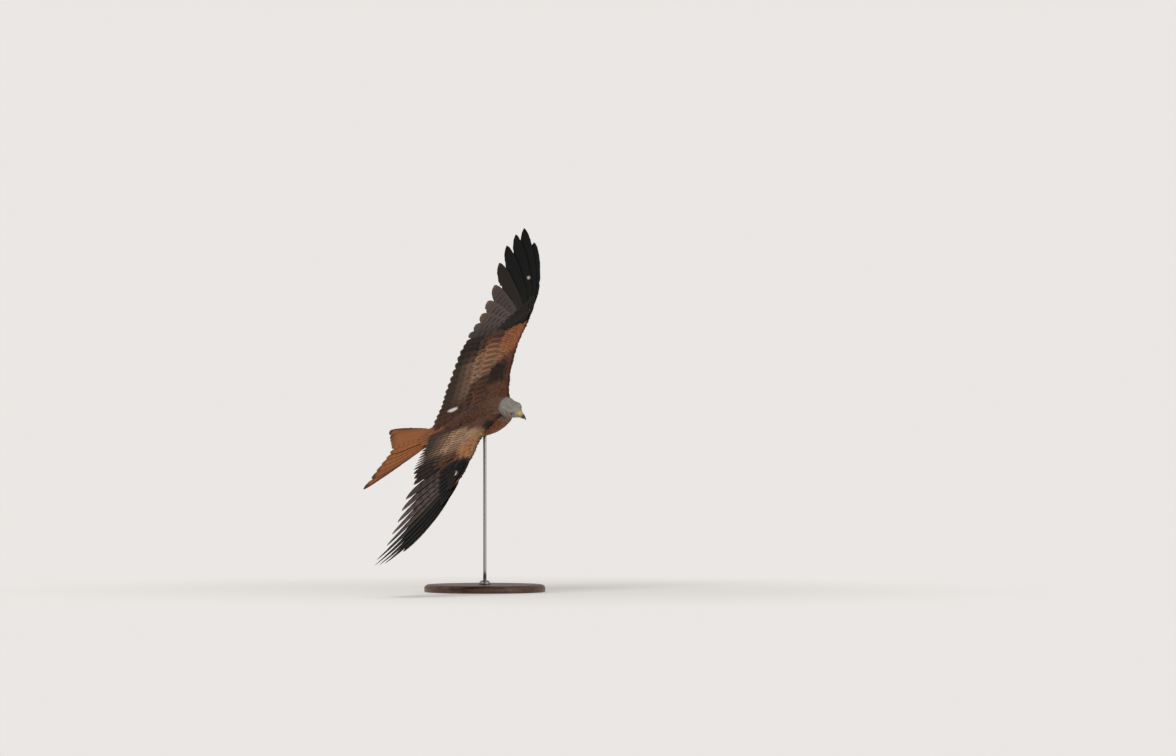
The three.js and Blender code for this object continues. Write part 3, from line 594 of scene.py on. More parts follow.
def vaneMesh(name, grids):
    # Every vane of the grids in one mesh, each with its own patch of the map.
    points, quads, caps, colours, quadUv, capUv = ([] for _ in range(6))
    values = {"along": [], "across": [], "reach": [], "seed": [], "rim": []}
    start = 0
    for g in grids:
        n, rows, ring, _ = g["points"].shape
        points.append(g["points"].reshape(-1, 3))
        colours.append(g["colours"].reshape(-1, 3))
        one = {"along": g["t"][:, None], "across": g["u"], "reach": g["lengths"][:, None, None]}
        one["seed"] = g["seeds"][:, None, None]
        one["rim"] = np.where(np.abs(g["u"]) > 0.999, 1.5 + 0.5 * g["u"], 0)
        for key, value in one.items():
            values[key].append(np.broadcast_to(value, (n, rows, ring)).ravel())
        base = start + np.arange(n)[:, None, None] * rows * ring
        quads.append((ringFaces(rows, ring)[None] + base).reshape(-1, 4))
        r, c = np.arange(rows - 1)[:, None], np.arange(ring)[None, :]
        cornerU = np.stack(np.broadcast_arrays(c, c + 1, c + 1, c + 0 * r), -1) / ring
        cornerV = np.stack(np.broadcast_arrays(r + 0 * c, r, r + 1, r + 1), -1) / (rows - 1)
        corners = np.stack([cornerU, cornerV], -1).reshape(-1, 2)
        origin, size = g["uv"]
        quadUv.append((origin[:, None, :] + corners[None] * size).reshape(-1, 2))
        tip = (rows - 1) * ring + np.arange(ring)[::-1]
        caps.append((tip[None, :] + base[:, :, 0]).reshape(-1, ring))
        capUv.append(np.repeat(origin + np.array(size) * [0.5, 1.0], ring, 0))
        start += n * rows * ring
    quads = np.vstack(quads)
    loops = np.concatenate([quads.ravel()] + [c.ravel() for c in caps])
    sizes = np.concatenate([np.full(len(quads), 4)] + [np.full(len(c), c.shape[1]) for c in caps])
    starts = np.concatenate([[0], np.cumsum(sizes)[:-1]])
    mesh = bpy.data.meshes.new(name)
    mesh.vertices.add(start)
    mesh.vertices.foreach_set("co", toRow(np.vstack(points)).astype(np.float32).ravel())
    mesh.loops.add(len(loops))
    mesh.loops.foreach_set("vertex_index", loops.astype(np.int32))
    mesh.polygons.add(len(sizes))
    mesh.polygons.foreach_set("loop_start", starts.astype(np.int32))
    mesh.polygons.foreach_set("use_smooth", np.ones(len(sizes), bool))
    mesh.update(calc_edges=True)
    # The two edges of each vane are creases, so that both faces stay flat up to them.
    rim = np.concatenate(values.pop("rim"))
    a, b = readOut(mesh.edges, "vertices", np.int32, 2).T
    crease = (rim[a] > 0) & (rim[a] == rim[b])
    mesh.attributes.new("sharp_edge", "BOOLEAN", "EDGE").data.foreach_set("value", crease)
    setValues(mesh, "pelt", np.vstack(colours))
    for key, value in values.items():
        setValues(mesh, key, np.concatenate(value))
    setMap(mesh, np.vstack(quadUv + capUv))
    return mesh


def strips(count, columns, firstRow, rowsInAll):
    # Each big vane has its own strip of the map.
    k = np.arange(count)
    size = np.array([0.92 / columns, 0.92 / rowsInAll])
    corner = [(k % columns) / columns + 0.004, (firstRow + k // columns) / rowsInAll + 0.004]
    return np.stack(corner, -1), size


# The skin: body, neck, head, arms, tail root and thighs as one form, a coat's depth inside the solids

skinForm = {
    "depth": 4.5, "headDepth": 2.0, "voxel": 2.0, "around": 56, "neckReach": 40.0,
    "body": [
        [-178, 18, 6, 7, 3], [-160, 25, 10, 12, 2], [-142, 31, 14, 17, 1], [-128, 35, 18, 22, 0],
        [-100, 41, 25, 31, 0], [-66, 49, 33, 41, 0], [-30, 55, 39, 49, 0], [8, 59, 43, 55, 0],
        [40, 58, 43, 55, 0], [66, 52, 40, 51, 1], [84, 44, 36, 45, 2],
    ],
    "head": [
        [-32, 28.5, 26.5, 29], [-22, 28.5, 27.5, 26.5], [-10, 27.5, 27, 23], [2, 25.5, 25, 20],
        [12, 22, 21.5, 17], [21, 16.5, 16.5, 14.5], [29, 11, 11, 11.5], [34, 8.4, 8.6, 8.4],
    ],
    "thigh": [
        [36, 24, -34, 8], [48, 24, -38, 11], [62, 24, -40, 12.5], [80, 22, -39.5, 10.5], [96, 19, -35, 6.4],
        [106, 18.1, -33.4, 3.6], [112, 18, -33.4, 3.2],
    ],
}


def oval(centreX, sizes, lift, sides, shift=0):
    # Rings across the x axis: sizes are half width, height over and depth under.
    a = circle(sides)
    sizes = np.asarray(sizes, float)
    tall = np.where(np.sin(a)[None, :] > 0, sizes[:, 1:2], sizes[:, 2:3]) * np.sin(a)
    x = np.repeat(np.asarray(centreX, float)[:, None], sides, 1)
    wide = sizes[:, 0:1] * np.cos(a) + np.reshape(shift, (-1, 1))
    return np.stack([x, wide, tall + np.asarray(lift, float)[:, None]], -1)


def headWidths(x):
    # How much narrower than the solid the skin of the head is.
    return skinForm["headDepth"] * (1 - smoothStep(x, 16, 34))


def trunkTubes():
    deep, sides, reach = skinForm["depth"], skinForm["around"], skinForm["neckReach"]
    x = np.linspace(-176, 84, 40)
    body = curveThrough(skinForm["body"], x)
    trunk = oval(x, np.maximum(body[:, :3] - deep, 1.5), body[:, 3], sides)
    root, back = skinForm["body"][-1], skinForm["head"][0]
    rows = []
    for t in np.linspace(-0.3, 1, 12):
        k = max(t, 0)
        sizes = [
            root[j] + (back[j] - root[j]) * k - 2 * math.sin(math.pi * k)
            - deep + (deep - skinForm["headDepth"]) * k
            for j in (1, 2, 3)
        ]
        fromBody = oval([root[0] + reach * t], [sizes], [root[4]], sides)[0]
        fromHead = headPlace(oval([back[0] - reach * (1 - t)], [sizes], [0], sides)[0])
        blend = k * k * (3 - 2 * k)
        rows.append(fromBody * (1 - blend) + fromHead * blend)
    x = np.linspace(-31, 34, 24)
    head = curveThrough(skinForm["head"], x)
    rows += list(headPlace(oval(x, head[:, :3] - headWidths(x)[:, None], 0 * x, sides)))
    return [trunk, np.array(rows)]


def armTube(wing):
    y = np.linspace(-25, 366, 56)
    front, rear, depth = armLines(y)
    u, h = np.array(wingForm["over"] + wingForm["under"][:0:-1]).T
    inner = 2.2 * np.minimum(1, depth / 12)[:, None]
    z = h * np.maximum(depth[:, None] - 2 * inner, 0.6)
    x = (front - 1.5)[:, None] + (rear - front + 3)[:, None] * u
    tube = wingPlace(np.stack([x, np.repeat(y[:, None], len(u), 1), z], -1), wing)
    return tube if wing["side"] < 0 else tube[:, ::-1]


def skinTubes():
    tubes = trunkTubes() + [armTube(wing) for wing in wings.values()]
    for side, _ in bothSides:
        x = np.linspace(36, 112, 26)
        s = curveThrough(skinForm["thigh"], x)
        tubes.append(oval(-x, np.repeat(s[:, 2:3], 3, 1), s[:, 1], 28, side * s[:, 0]))
    for side, _ in bothSides:
        # The bony brow over each eye
        x = np.linspace(-9, 25, 18)
        t = (x - 8) / 17
        r = np.sqrt(np.maximum(0.02, 1 - t**2))
        sizes = np.stack([6.6 * r, 2.9 * r, 2.6 * r], 1)
        tubes.append(headPlace(oval(x, sizes, 14.4 - 2.6 * t, 20, side * (18.0 - 3.8 * smoothStep(t, 0, 1)))))
    return tubes


def settleEyes(points):
    # The skin gives way round each eye, so that the eye sits in a socket.
    h = toHead(points)
    for side, _ in bothSides:
        centre = np.array(headForm["eye"]) * [1, side, 1]
        out = h - centre
        far = np.linalg.norm(out, axis=1)
        room = headForm["eyeRadius"] + 0.2
        inside = (far < room) & (np.abs(h[:, 0]) < 33)
        target = centre + out / np.maximum(far, 0.01)[:, None] * room
        pull = centre * [1, 0.62, 1] + (out * [1, 0, 1]) * 0.9
        h = np.where((inside & (out[:, 1] * side > -2))[:, None], pull * 0.8 + target * 0.2, h)
    return headPlace(h)


def buildSkin():
    raw = linked("rawSkin", fused("raw skin", skinTubes(), False))
    remesh = raw.modifiers.new("one form", "REMESH")
    remesh.mode = "VOXEL"
    remesh.voxel_size = skinForm["voxel"]
    ease = raw.modifiers.new("ease", "SMOOTH")
    ease.factor = 0.5
    ease.iterations = 8
    made = bpy.data.meshes.new_from_object(raw.evaluated_get(bpy.context.evaluated_depsgraph_get()))
    made.name = "skin"
    bpy.data.objects.remove(raw)
    points = settleEyes(readOut(made.vertices, "co", width=3))
    made.vertices.foreach_set("co", points.astype(np.float32).ravel())
    made.update()
    made.calc_loop_triangles()
    return made, points, readOut(made.loop_triangles, "vertices", np.int32, 3)


skinMesh, skinPoints, triangles = buildSkin()
skinTree = BVHTree.FromPolygons(skinPoints.tolist(), triangles.tolist())
print("skin", len(skinPoints))


def regionOf(points):
    # 0 body and neck, 1 head, 2 left arm, 3 right arm, 4 left thigh, 5 right thigh
    region = np.zeros(len(points), int)
    region[(toHead(points)[:, 0] > -34) & (points[:, 0] > 60)] = 1
    out, left = np.abs(points[:, 1]), points[:, 1] > 0
    arm = (out > 62) & (points[:, 0] > -40) & (region == 0)
    region[arm] = np.where(left, 2, 3)[arm]
    low = (points[:, 2] < -33) & (points[:, 0] < -52) & (region == 0) & (np.abs(out - 21) < 16)
    region[low] = np.where(left, 4, 5)[low]
    return region


def turnOf(points, region):
    # How far round its part each point lies, from 0 to 1.
    h, out = toHead(points), np.abs(points[:, 1])
    parts = [region == 1, (region == 2) | (region == 3), region >= 4]
    y = np.select(parts, [h[:, 1], points[:, 0] - 50, out - 21], points[:, 1])
    z = np.select(parts, [h[:, 2], (points[:, 2] - 10 - out * 0.12) * 3, points[:, 2] + 38], points[:, 2])
    return np.arctan2(z, y) / (2 * np.pi) + 0.5


# Where each region lies in the map: left, bottom, width and height
mapRegions = [
    (0.02, 0.02, 0.56, 0.46), (0.02, 0.52, 0.3, 0.46), (0.62, 0.02, 0.17, 0.94), (0.81, 0.02, 0.17, 0.94),
    (0.36, 0.52, 0.1, 0.3), (0.48, 0.52, 0.1, 0.3),
]


def unwrap(points, region, near):
    # The skin laid out in strips, along each part and round it, on the same side of the seam as near.
    arm = (region == 2) | (region == 3)
    alongs = [(toHead(points)[:, 0] + 40) / 80, (np.abs(points[:, 1]) - 50) / 420, (-points[:, 0] - 30) / 90]
    along = np.select([region == 1, arm, region >= 4], alongs, (points[:, 0] + 180) / 330)
    turn = near + (turnOf(points, region) - near + 0.5) % 1 - 0.5
    turn = np.clip(turn, -0.1, 1.1)
    rect = np.array(mapRegions)[region]
    walk = np.where(arm[:, None], np.stack([turn, along], 1), np.stack([along, turn], 1))
    return np.clip(rect[:, :2] + walk * rect[:, 2:], 0.002, 0.994)


def finishSkin():
    base, _, streak = bodyTone(skinPoints, readOut(skinMesh.vertices, "normal", width=3).astype(float))
    coat = mixColour(base, streak, 0.35)
    coat[np.abs(skinPoints[:, 1]) > 70] = tones["forewing"] * 0.8
    setValues(skinMesh, "pelt", coat)
    corner = readOut(skinMesh.loops, "vertex_index", np.int32)
    sizes = readOut(skinMesh.polygons, "loop_total", np.int32)
    centres = readOut(skinMesh.polygons, "center", width=3).astype(float)
    region = regionOf(centres)
    faceOf = np.repeat(np.arange(len(sizes)), sizes)
    setMap(skinMesh, unwrap(skinPoints[corner], region[faceOf], turnOf(centres, region)[faceOf]))
    skinMesh.polygons.foreach_set("use_smooth", np.ones(len(sizes), bool))
    skinMesh.materials.clear()
    skinMesh.transform(toWorld)
    skinMesh.update()
    solids = ("torso", "neck", "head", "thigh_left", "thigh_right")
    return finished(skinMesh, downFinish, "plumage_body", *solids)


# Flight feathers

feathers = {
    "primary": [218, 234, 255, 286, 322, 384, 416, 424, 420, 345],
    "primaryAngle": [87, 74, 61, 49, 37.5, 27, 18.5, 11, 5, 0],
    "firstFinger": 5, "handFirst": 14.0, "handSpacing": 9.0,
    "armCount": 16, "armFrom": 246.0, "armTo": -8.0,
}


def each(values, **more):
    # One array a key, from a dictionary a vane; more holds what is the same for all.
    return {key: np.array([v[key] for v in values], float) for key in values[0]} | more


def handPlace(wing, ahead, out):
    s = math.radians(wing["sweep"])
    x, y = wingForm["wrist"]
    return x + ahead * math.cos(s) - out * math.sin(s), y + ahead * math.sin(s) + out * math.cos(s)


def handVane(wing, i, **sizes):
    # A vane of the hand in line with primary i. Outer ones lie under inner ones.
    x, y = handPlace(wing, -12 + 1.3 * i, feathers["handFirst"] + feathers["handSpacing"] * i)
    angle = -feathers["primaryAngle"][i] * wing["fan"] - wing["sweep"]
    return {"x": x, "y": y, "angle": angle, "layer": 0.6 * i + 0.35 * max(0, i - 4), "number": i} | sizes


def handRise(layers, extra=0.0):
    return lambda r: -layers[:, None] * smoothStep(r, -10, 32) + extra * smoothStep(r, -20, 30)


def armFeather(k):
    t = k / (feathers["armCount"] - 1)
    y = feathers["armFrom"] + (feathers["armTo"] - feathers["armFrom"]) * t
    return y, -73 - 20 * float(smoothStep(t, -0.2, 0.7)), t


def armVanes():
    vanes = []
    for k in range(feathers["armCount"]):
        y, angle, t = armFeather(k)
        x = float(between(wingForm["rear"], y)) + 26
        tipY = y + (x + 190) / math.tan(math.radians(-angle))
        length = (x - float(between(wingForm["trailing"], tipY))) / math.sin(math.radians(-angle))
        wide = 1 + 0.06 * t
        vanes.append(
            {
                "x": x, "y": y, "angle": angle, "length": length,
                "ahead": 13 * wide, "behind": 24 * wide, "inward": t,
            }
        )
    return each(vanes)


def perVane(colour):
    return colour[:, None, None, :]


def barred(t, u, reach, spacing, strength, towards):
    # Dark bars across the inner vane, fading towards the tip.
    wave = 0.5 + 0.5 * np.cos(2 * np.pi * (t * reach[:, None, None] + np.abs(u) * 9) / spacing)
    bars = smoothStep(wave, 0.55, 0.85) * strength
    return bars * (1 - smoothStep(t, *towards)) * (0.35 + 0.65 * (u < 0.1))


def primaryColours(vanes, mark, t, u, flat):
    number, reach = vanes["number"], vanes["length"]
    inner = 1 - smoothStep(number, 3.2, 5.6)
    over = perVane(mixColour("black", "innerPrimary", inner * (0.5 + 0.5 * smoothStep(number, -0.5, 2))))
    inner = inner[:, None, None]
    over = mixColour(over, tones["black"] * 1.2, barred(t, u, reach, 27, 0.75, (0.7, 0.95)) * inner)
    over = mixColour(over, tones["tawny"] * 0.8, smoothStep(t, 0.93, 1.0) * inner * 0.35)
    over = mixColour(over, "innerPrimary", smoothStep(-u, -0.1, 0.4) * (1 - smoothStep(t, 0.32, 0.5)) * 0.3)
    # Below, the bases form a pale window with dark bars and the fingers are black.
    finger = smoothStep(number, 3.4, 5.0)[:, None, None]
    tip = smoothStep((t - (0.46 + 0.2 * (1 - finger))) / 0.2, 0, 1)
    under = perVane(mixColour("underGrey", "window", smoothStep(number, 0.5, 3.5)))
    under = mixColour(under, "secondary", barred(t, u, reach, 24, 0.8, (0.75, 1.0)))
    under = mixColour(under, tones["black"] * 1.3, tip * (0.35 + 0.65 * finger))
    return spotted(over, flat, mark), mixColour(under, "secondary", smoothStep(u, 0.15, 0.6) * 0.5)


def armColours(vanes, mark, t, u, flat):
    reach = vanes["length"]
    over = perVane(mixColour("secondary", "tawnyDark", smoothStep(vanes["inward"], 0.7, 1.0) * 0.75))
    middle = flat[:, t.shape[1] // 2, 4]
    band, walk = bandShare(middle[:, 0], middle[:, 1], mark, 26)
    warm = bandColour(walk, mark) * rng.normal(0.6, 0.06, len(reach))[:, None]
    fade = (1 - smoothStep(t, 0.42, 0.9) * 0.9) * (1 - 0.3 * np.abs(u))
    over = mixColour(over, perVane(warm), band[:, None, None] * fade)
    over = mixColour(over, "black", barred(t, u, reach, 24, 0.5, (0.8, 1.05)))
    over = mixColour(over, "mantleEdge", smoothStep(np.abs(u), 0.72, 1.0) * smoothStep(t, 0.3, 0.9) * 0.3)
    over = mixColour(over, "tawny", smoothStep(t, 0.95, 1.0) * 0.25)
    under = mixColour("underGrey", "secondary", barred(t, u, reach, 22, 0.8, (0.8, 1.0)))
    return spotted(over, flat, mark), mixColour(under, "secondary", smoothStep(t, 0.78, 0.98) * 0.75)


def wingFlight(side):
    wing, mark = wings[side], marks[side]

    def lay(vanes, rows, outline, wear, colours, uv):
        def paint(*where):
            return colours(vanes, mark, *where)

        return layVanes(vanes, rows, "flight", outline, lambda p: wingPlace(p, wing), wear, paint, uv)

    primaries = []
    for i, length in enumerate(feathers["primary"]):
        wide = {"ahead": 15, "behind": 38} if i >= feathers["firstFinger"] else {"ahead": 14, "behind": 32}
        primaries.append(handVane(wing, i, length=length, curve=wing["bend"] * i / 9, **wide))
    halves = (primaries[: feathers["firstFinger"]], primaries[feathers["firstFinger"] :])
    grids = []
    for row, (half, outline) in enumerate(zip(halves, ("plain", "finger"))):
        vanes = each(half)
        vanes["rise"] = handRise(vanes["layer"])
        grids.append(lay(vanes, 44, outline, 0.16, primaryColours, strips(5, 10, row, 4)))
    grids.append(lay(armVanes(), 36, "plain", 0.18, armColours, strips(16, 10, 2, 4)))
    return finished(vaneMesh("flight_" + side, grids), flightFinish, "plumage_wing", "wing_" + side)


def tailColours(vanes, t, u):
    reach, number = vanes["length"], vanes["number"][:, None, None]
    over = mixColour("tail", "tailDark", barred(t, u, reach, 21, 0.42, (0.9, 1.1)))
    # The outer webs of the outer tail feathers are darkened: painted shade along the tail's edge
    over = mixColour(over, "tailDark", smoothStep(number, 3.5, 5.0) * smoothStep(u, 0.05, 0.3) * 0.85)
    dark = smoothStep(t, 0.9, 0.97) * (0.35 + 0.65 * smoothStep(number, 2, 5))
    over = mixColour(over, "secondary", dark * 0.85)
    over = mixColour(over, "tawny", smoothStep(t, 0.975, 1.0) * (1 - smoothStep(number, 3, 5)) * 0.7)
    under = mixColour("tailUnder", "tailDark", barred(t, u, reach, 21, 0.5, (0.9, 1.1)))
    return over, mixColour(under, "secondary", dark * 0.6)


def tailFeathers():
    grids = []
    quill, outermost = tailForm["quill"], len(tailForm["lengths"]) - 1
    for row, (side, _) in enumerate(bothSides):
        vanes = []
        for i, length in enumerate(tailForm["lengths"]):
            wide = {"ahead": 13, "curve": 5} if i == outermost else {"ahead": 20, "curve": 1.5}
            vanes.append(
                {
                    "x": 1.2 + 2.1 * i, "y": quill,
                    "z": tailForm["layers"][i] - (tailForm["overlap"][i] if side < 0 else 0),
                    "angle": tailForm["spread"] * (i + 0.45) / 5.45, "length": length - quill,
                    "behind": tailForm["inner"][i], "number": i, "tilt": 0.03,
                }
                | wide
            )
        vanes = each(vanes)
        # Turned over for the right half, so that the ring still runs the same way round.
        grids.append(
            layVanes(
                vanes, 44, "flight", "plain", lambda p, side=side: tailPlace(p * [side, 1, 1]), 0.16,
                lambda t, u, flat: tailColours(vanes, t, u), strips(6, 6, row, 2), side < 0,
            )
        )
    return finished(vaneMesh("tail_feathers", grids), flightFinish, "plumage_tail", "tail")


print("flight feathers")
for wingSide in wings:
    wingFlight(wingSide)
tailFeathers()

# Coverts over and under the arm and hand

coverts = {
    "tiers": [
        {"start": 30, "end": 58, "height": 3.2, "half": 13, "first": 0, "step": 0.0, "facing": 1,
         "dark": 0.85},
        {"start": 42, "end": 24, "height": 6.6, "half": 12.5, "first": 1, "step": -0.5, "facing": 1,
         "dark": 0.3},
        {"start": 28, "end": 50, "height": -3.9, "half": 11.5, "first": 1, "step": 0.0, "facing": -1,
         "dark": 0.85},
    ],
    "lesserRows": {
        1: [0.0, 0.05, 0.12, 0.22, 0.34, 0.47, 0.6, 0.73],
        -1: [0.0, 0.06, 0.14, 0.26, 0.4, 0.54, 0.68, 0.8],
    },
    "lesserSpacing": 8.5,
    "primaryCount": 9,
    "alula": (104, 86, 66, 46),
}


def armHeight(x, y, facing):
    # How high the arm's own surface stands over the flat wing.
    front, rear, depth = armLines(y)
    share = np.clip((front - x) / (front - rear), 0, 1)
    return between(wingForm["over" if facing > 0 else "under"], share) * depth


def covertColours(t, u, flat, facing, mark, dimTone=None, dimShare=0):
    n = len(flat)
    middle = flat[:, flat.shape[1] * 2 // 3, u.size // 4]
    base, edge, band = armTone(middle[:, 0], middle[:, 1], mark)
    if facing < 0:
        base = mixColour("underRufous", "forewing", [0.35] * n)
        edge = mixColour("tawny", "underRufous", [0.6] * n)
        band = np.zeros(n)
    if dimTone is not None:
        share = dimShare * (1 - 0.75 * band)
        base, edge = mixColour(base, dimTone, share), mixColour(edge, dimTone * 1.5, share * 0.7)
    vary = rng.normal(1, 0.13, n)[:, None]
    inside, outside = perVane(base * vary), perVane(edge * vary)
    rim = np.maximum(smoothStep(np.abs(u), 0.4, 1.0) * smoothStep(t, 0.15, 0.6), smoothStep(t, 0.78, 0.99))
    streak = (1 - smoothStep(np.abs(u), 0.04, 0.3)) * (0.35 + 0.4 * band[:, None, None])
    tone = mixColour(mixColour(inside, outside, rim), inside * 0.45, streak)
    return spotted(tone, flat, mark) if facing > 0 else tone


def tierVanes(tier):
    vanes = []
    for k in range(tier["first"], feathers["armCount"]):
        y, angle, _ = armFeather(k + tier["step"])
        x = float(between(wingForm["rear"], y)) + tier["start"]
        length = (tier["start"] + tier["end"]) / math.sin(math.radians(-angle))
        wide = {"ahead": tier["half"] * 0.85, "behind": tier["half"] * 1.15}
        vanes.append({"x": x, "y": y, "angle": angle, "length": length} | wide)
    vanes = each(vanes, cup=0.9 * tier["facing"], shaft=0.35)
    vanes["length"] *= rng.uniform(0.96, 1.04, len(vanes["x"]))
    vanes["rise"] = lambda r: tier["height"] * (0.4 + 0.6 * smoothStep(r, 0, 30))
    return vanes


def lesserVanes(facing):
    # Rows of small coverts that lie over one another from the leading edge back.
    vanes = []
    for row, share in enumerate(coverts["lesserRows"][facing]):
        size = 0.42 + 0.58 * smoothStep(share, -0.02, 0.5)
        edgewise = float(1 - smoothStep(share, -0.02, 0.2)) * 0.92
        y = -16.0 + 4 * (row % 2)
        while y < 352:
            front, rear, _ = (float(line) for line in armLines(y))
            narrow = min(1.0, (front - rear) / 70)
            x = front + (rear - front) * share
            ahead = float(between(wingForm["leading"], y + 8) - between(wingForm["leading"], y - 8))
            edgeLine = math.degrees(math.atan2(ahead, 16)) - 13
            angle = -86 + 22 * y / 250 + float(smoothStep(y, 235, 300)) * 44
            angle += (edgeLine - angle) * edgewise
            vanes.append(
                {
                    "x": x + rng.normal(0, 1.2), "y": y + rng.normal(0, 1.0),
                    "angle": angle + rng.normal(0, 3.5),
                    "length": (34 * size + 4 * row) * (0.72 + 0.28 * narrow) * rng.uniform(0.92, 1.08),
                    "ahead": 6.4 * size + 1.6, "behind": 7.2 * size + 1.6, "row": row,
                }
            )
            y += coverts["lesserSpacing"] * (0.62 + 0.38 * size)
    vanes = each(vanes, shaft=0.15, cup=0.9 * facing, tilt=0.03)
    reach, lift = vanes["length"], 2.6 if facing > 0 else 2.0
    vanes["rise"] = lambda r: facing * (lift * r / reach[:, None] - 1.6)
    return vanes


def overArm(points, facing):
    # Lifts flat points over the arm's own surface.
    flat = points.copy()
    x, y = flat[..., 0], flat[..., 1]
    front, rear, _ = armLines(y)
    level = smoothStep((front - x) / (front - rear), 0, 0.22)
    ground = armHeight(x, y, facing)
    flat[..., 2] += np.maximum(ground, 3.0 * level) if facing > 0 else np.minimum(ground, -2.4 * level)
    return flat


def wingCoverts(side):
    wing, mark = wings[side], marks[side]
    grids = []

    def lay(vanes, rows, wear, facing, dimTone=None, dimShare=0, place=lambda p: p):
        # Each vane has a small patch of the map, at its root's place on the arm laid out flat.
        front, rear, _ = armLines(vanes["y"])
        share = np.clip((front - vanes["x"]) / (front - rear), -0.2, 1.3)
        u = 0.25 + facing * (0.02 + 0.17 * (share + 0.2)) + (0.5 if side == "right" else 0)
        uv = np.stack([u, 0.02 + (vanes["y"] + 30) / 420 * 0.95], 1), np.full(2, vaneForm["patch"])

        def paint(*where):
            return covertColours(*where, facing, mark, dimTone, dimShare)

        grids.append(
            layVanes(vanes, rows, "covert", "covert", lambda p: wingPlace(place(p), wing), wear, paint, uv)
        )

    for tier in coverts["tiers"]:
        dimTone = tones["greater"] if tier["facing"] > 0 else tones["secondary"]
        lay(tierVanes(tier), 18, 0.22, tier["facing"], dimTone, tier["dark"])
    for facing, extra, grown, ahead in ((1, 4.6, 1, 10), (-1, -3.4, 0.8, 6)):
        vanes = each(
            [
                handVane(wing, i, length=(92 + 4 * i) * grown, ahead=ahead, behind=17)
                for i in range(coverts["primaryCount"])
            ],
            shaft=0.4,
        )
        vanes["x"] += 8
        vanes["angle"] += 1
        vanes["rise"] = handRise(vanes["layer"], extra)
        lay(vanes, 20, 0.2, facing, tones["black"] if facing > 0 else tones["underGrey"] * 0.5, 0.96)
    vanes = []
    for i, length in enumerate(coverts["alula"]):
        x, y = handPlace(wing, 14 - 5 * i, 10 + 3 * i)
        vanes.append({"x": x, "y": y, "angle": -wing["sweep"] - 3 - 3 * i, "length": length, "order": i})
    vanes = each(vanes, z=1.5, ahead=7, behind=13, shaft=0.4)
    order = vanes["order"][:, None]
    vanes["rise"] = lambda r: (4.6 + 1.3 * order) * smoothStep(r, -10, 30)
    lay(vanes, 20, 0.15, 1, tones["black"], 0.95)
    for facing in (1, -1):
        vanes = lesserVanes(facing)
        dim = (None, 0)
        if facing < 0:
            dim = (tones["forewingDark"], 0.85 * (1 - smoothStep(vanes["row"], 0.5, 3.5)))
        lay(vanes, 9, 0.25, facing, *dim, lambda p, facing=facing: overArm(p, facing))
    return finished(vaneMesh("coverts_" + side, grids), covertFinish, "plumage_wing")


print("coverts")
for wingSide in wings:
    wingCoverts(wingSide)

# Body feathers, rooted on the skin and laid along it

coat = {
    "spacing": {"face": 1.5, "head": 2.0, "neck": 3.3, "body": 7.0, "thigh": 4.4, "shoulder": 6.6},
    "candidates": 260000,
    "wear": 0.16,
    "leave": (9.0, 22.0),
}


def skinSamples(count):
    a, b, c = (skinPoints[triangles[:, k]] for k in range(3))
    cross = np.cross(b - a, c - a)
    area = np.linalg.norm(cross, axis=1) / 2
    pick = rng.choice(len(area), count, p=area / area.sum())
    r1, r2 = np.sqrt(rng.random(count)), rng.random(count)
    points = a[pick] * (1 - r1)[:, None] + b[pick] * (r1 * (1 - r2))[:, None] + c[pick] * (r1 * r2)[:, None]
    return points, unit(cross[pick], 1e-9)


def thinned(points, spacing):
    # One candidate for each small cell, so that they spread evenly.
    _, first = np.unique(np.floor(points / spacing).astype(int), axis=0, return_index=True)
    tree = KDTree(len(first))
    for k, index in enumerate(first):
        tree.insert(points[index], k)
    tree.balance()
    stays = np.ones(len(first), bool)
    for k, index in enumerate(first):
        if stays[k]:
            for _, other, _ in tree.find_range(points[index], spacing * 0.62):
                if other > k:
                    stays[other] = False
    return first[stays]


def lieOfCoat(points, normals):
    # Which way the feathers point: back over body and head, outward at the shoulders.
    h = toHead(points)
    headShare = smoothStep(h[:, 0], -78, -30) * (1 - smoothStep(np.hypot(h[:, 1], h[:, 2]), 48, 70))
    body, head = (1 - headShare)[:, None], headShare[:, None]
    lie = np.array([-1.0, 0, 0]) * body + headMatrix[:3, :3] @ np.array([-1.0, 0, 0]) * head
    side = np.sign(points[:, 1])[:, None]
    lie = lie + smoothStep(np.abs(points[:, 1]), 40, 75)[:, None] * body * side * np.array([0, 0.3, 0])
    thigh = (points[:, 2] < -30) & (points[:, 0] < -40) & (points[:, 0] > -112)
    lie = lie + thigh[:, None] * np.array([0, 0, -0.1])
    over = np.stack([np.zeros(len(points)), side[:, 0] * 0.6, np.where(points[:, 2] > 0, 0.7, -0.7)], 1)
    lie = lie + over * (smoothStep(normals[:, 0], 0.55, 0.95)[:, None] * body)
    return unit(lie - (lie * normals).sum(1)[:, None] * normals)


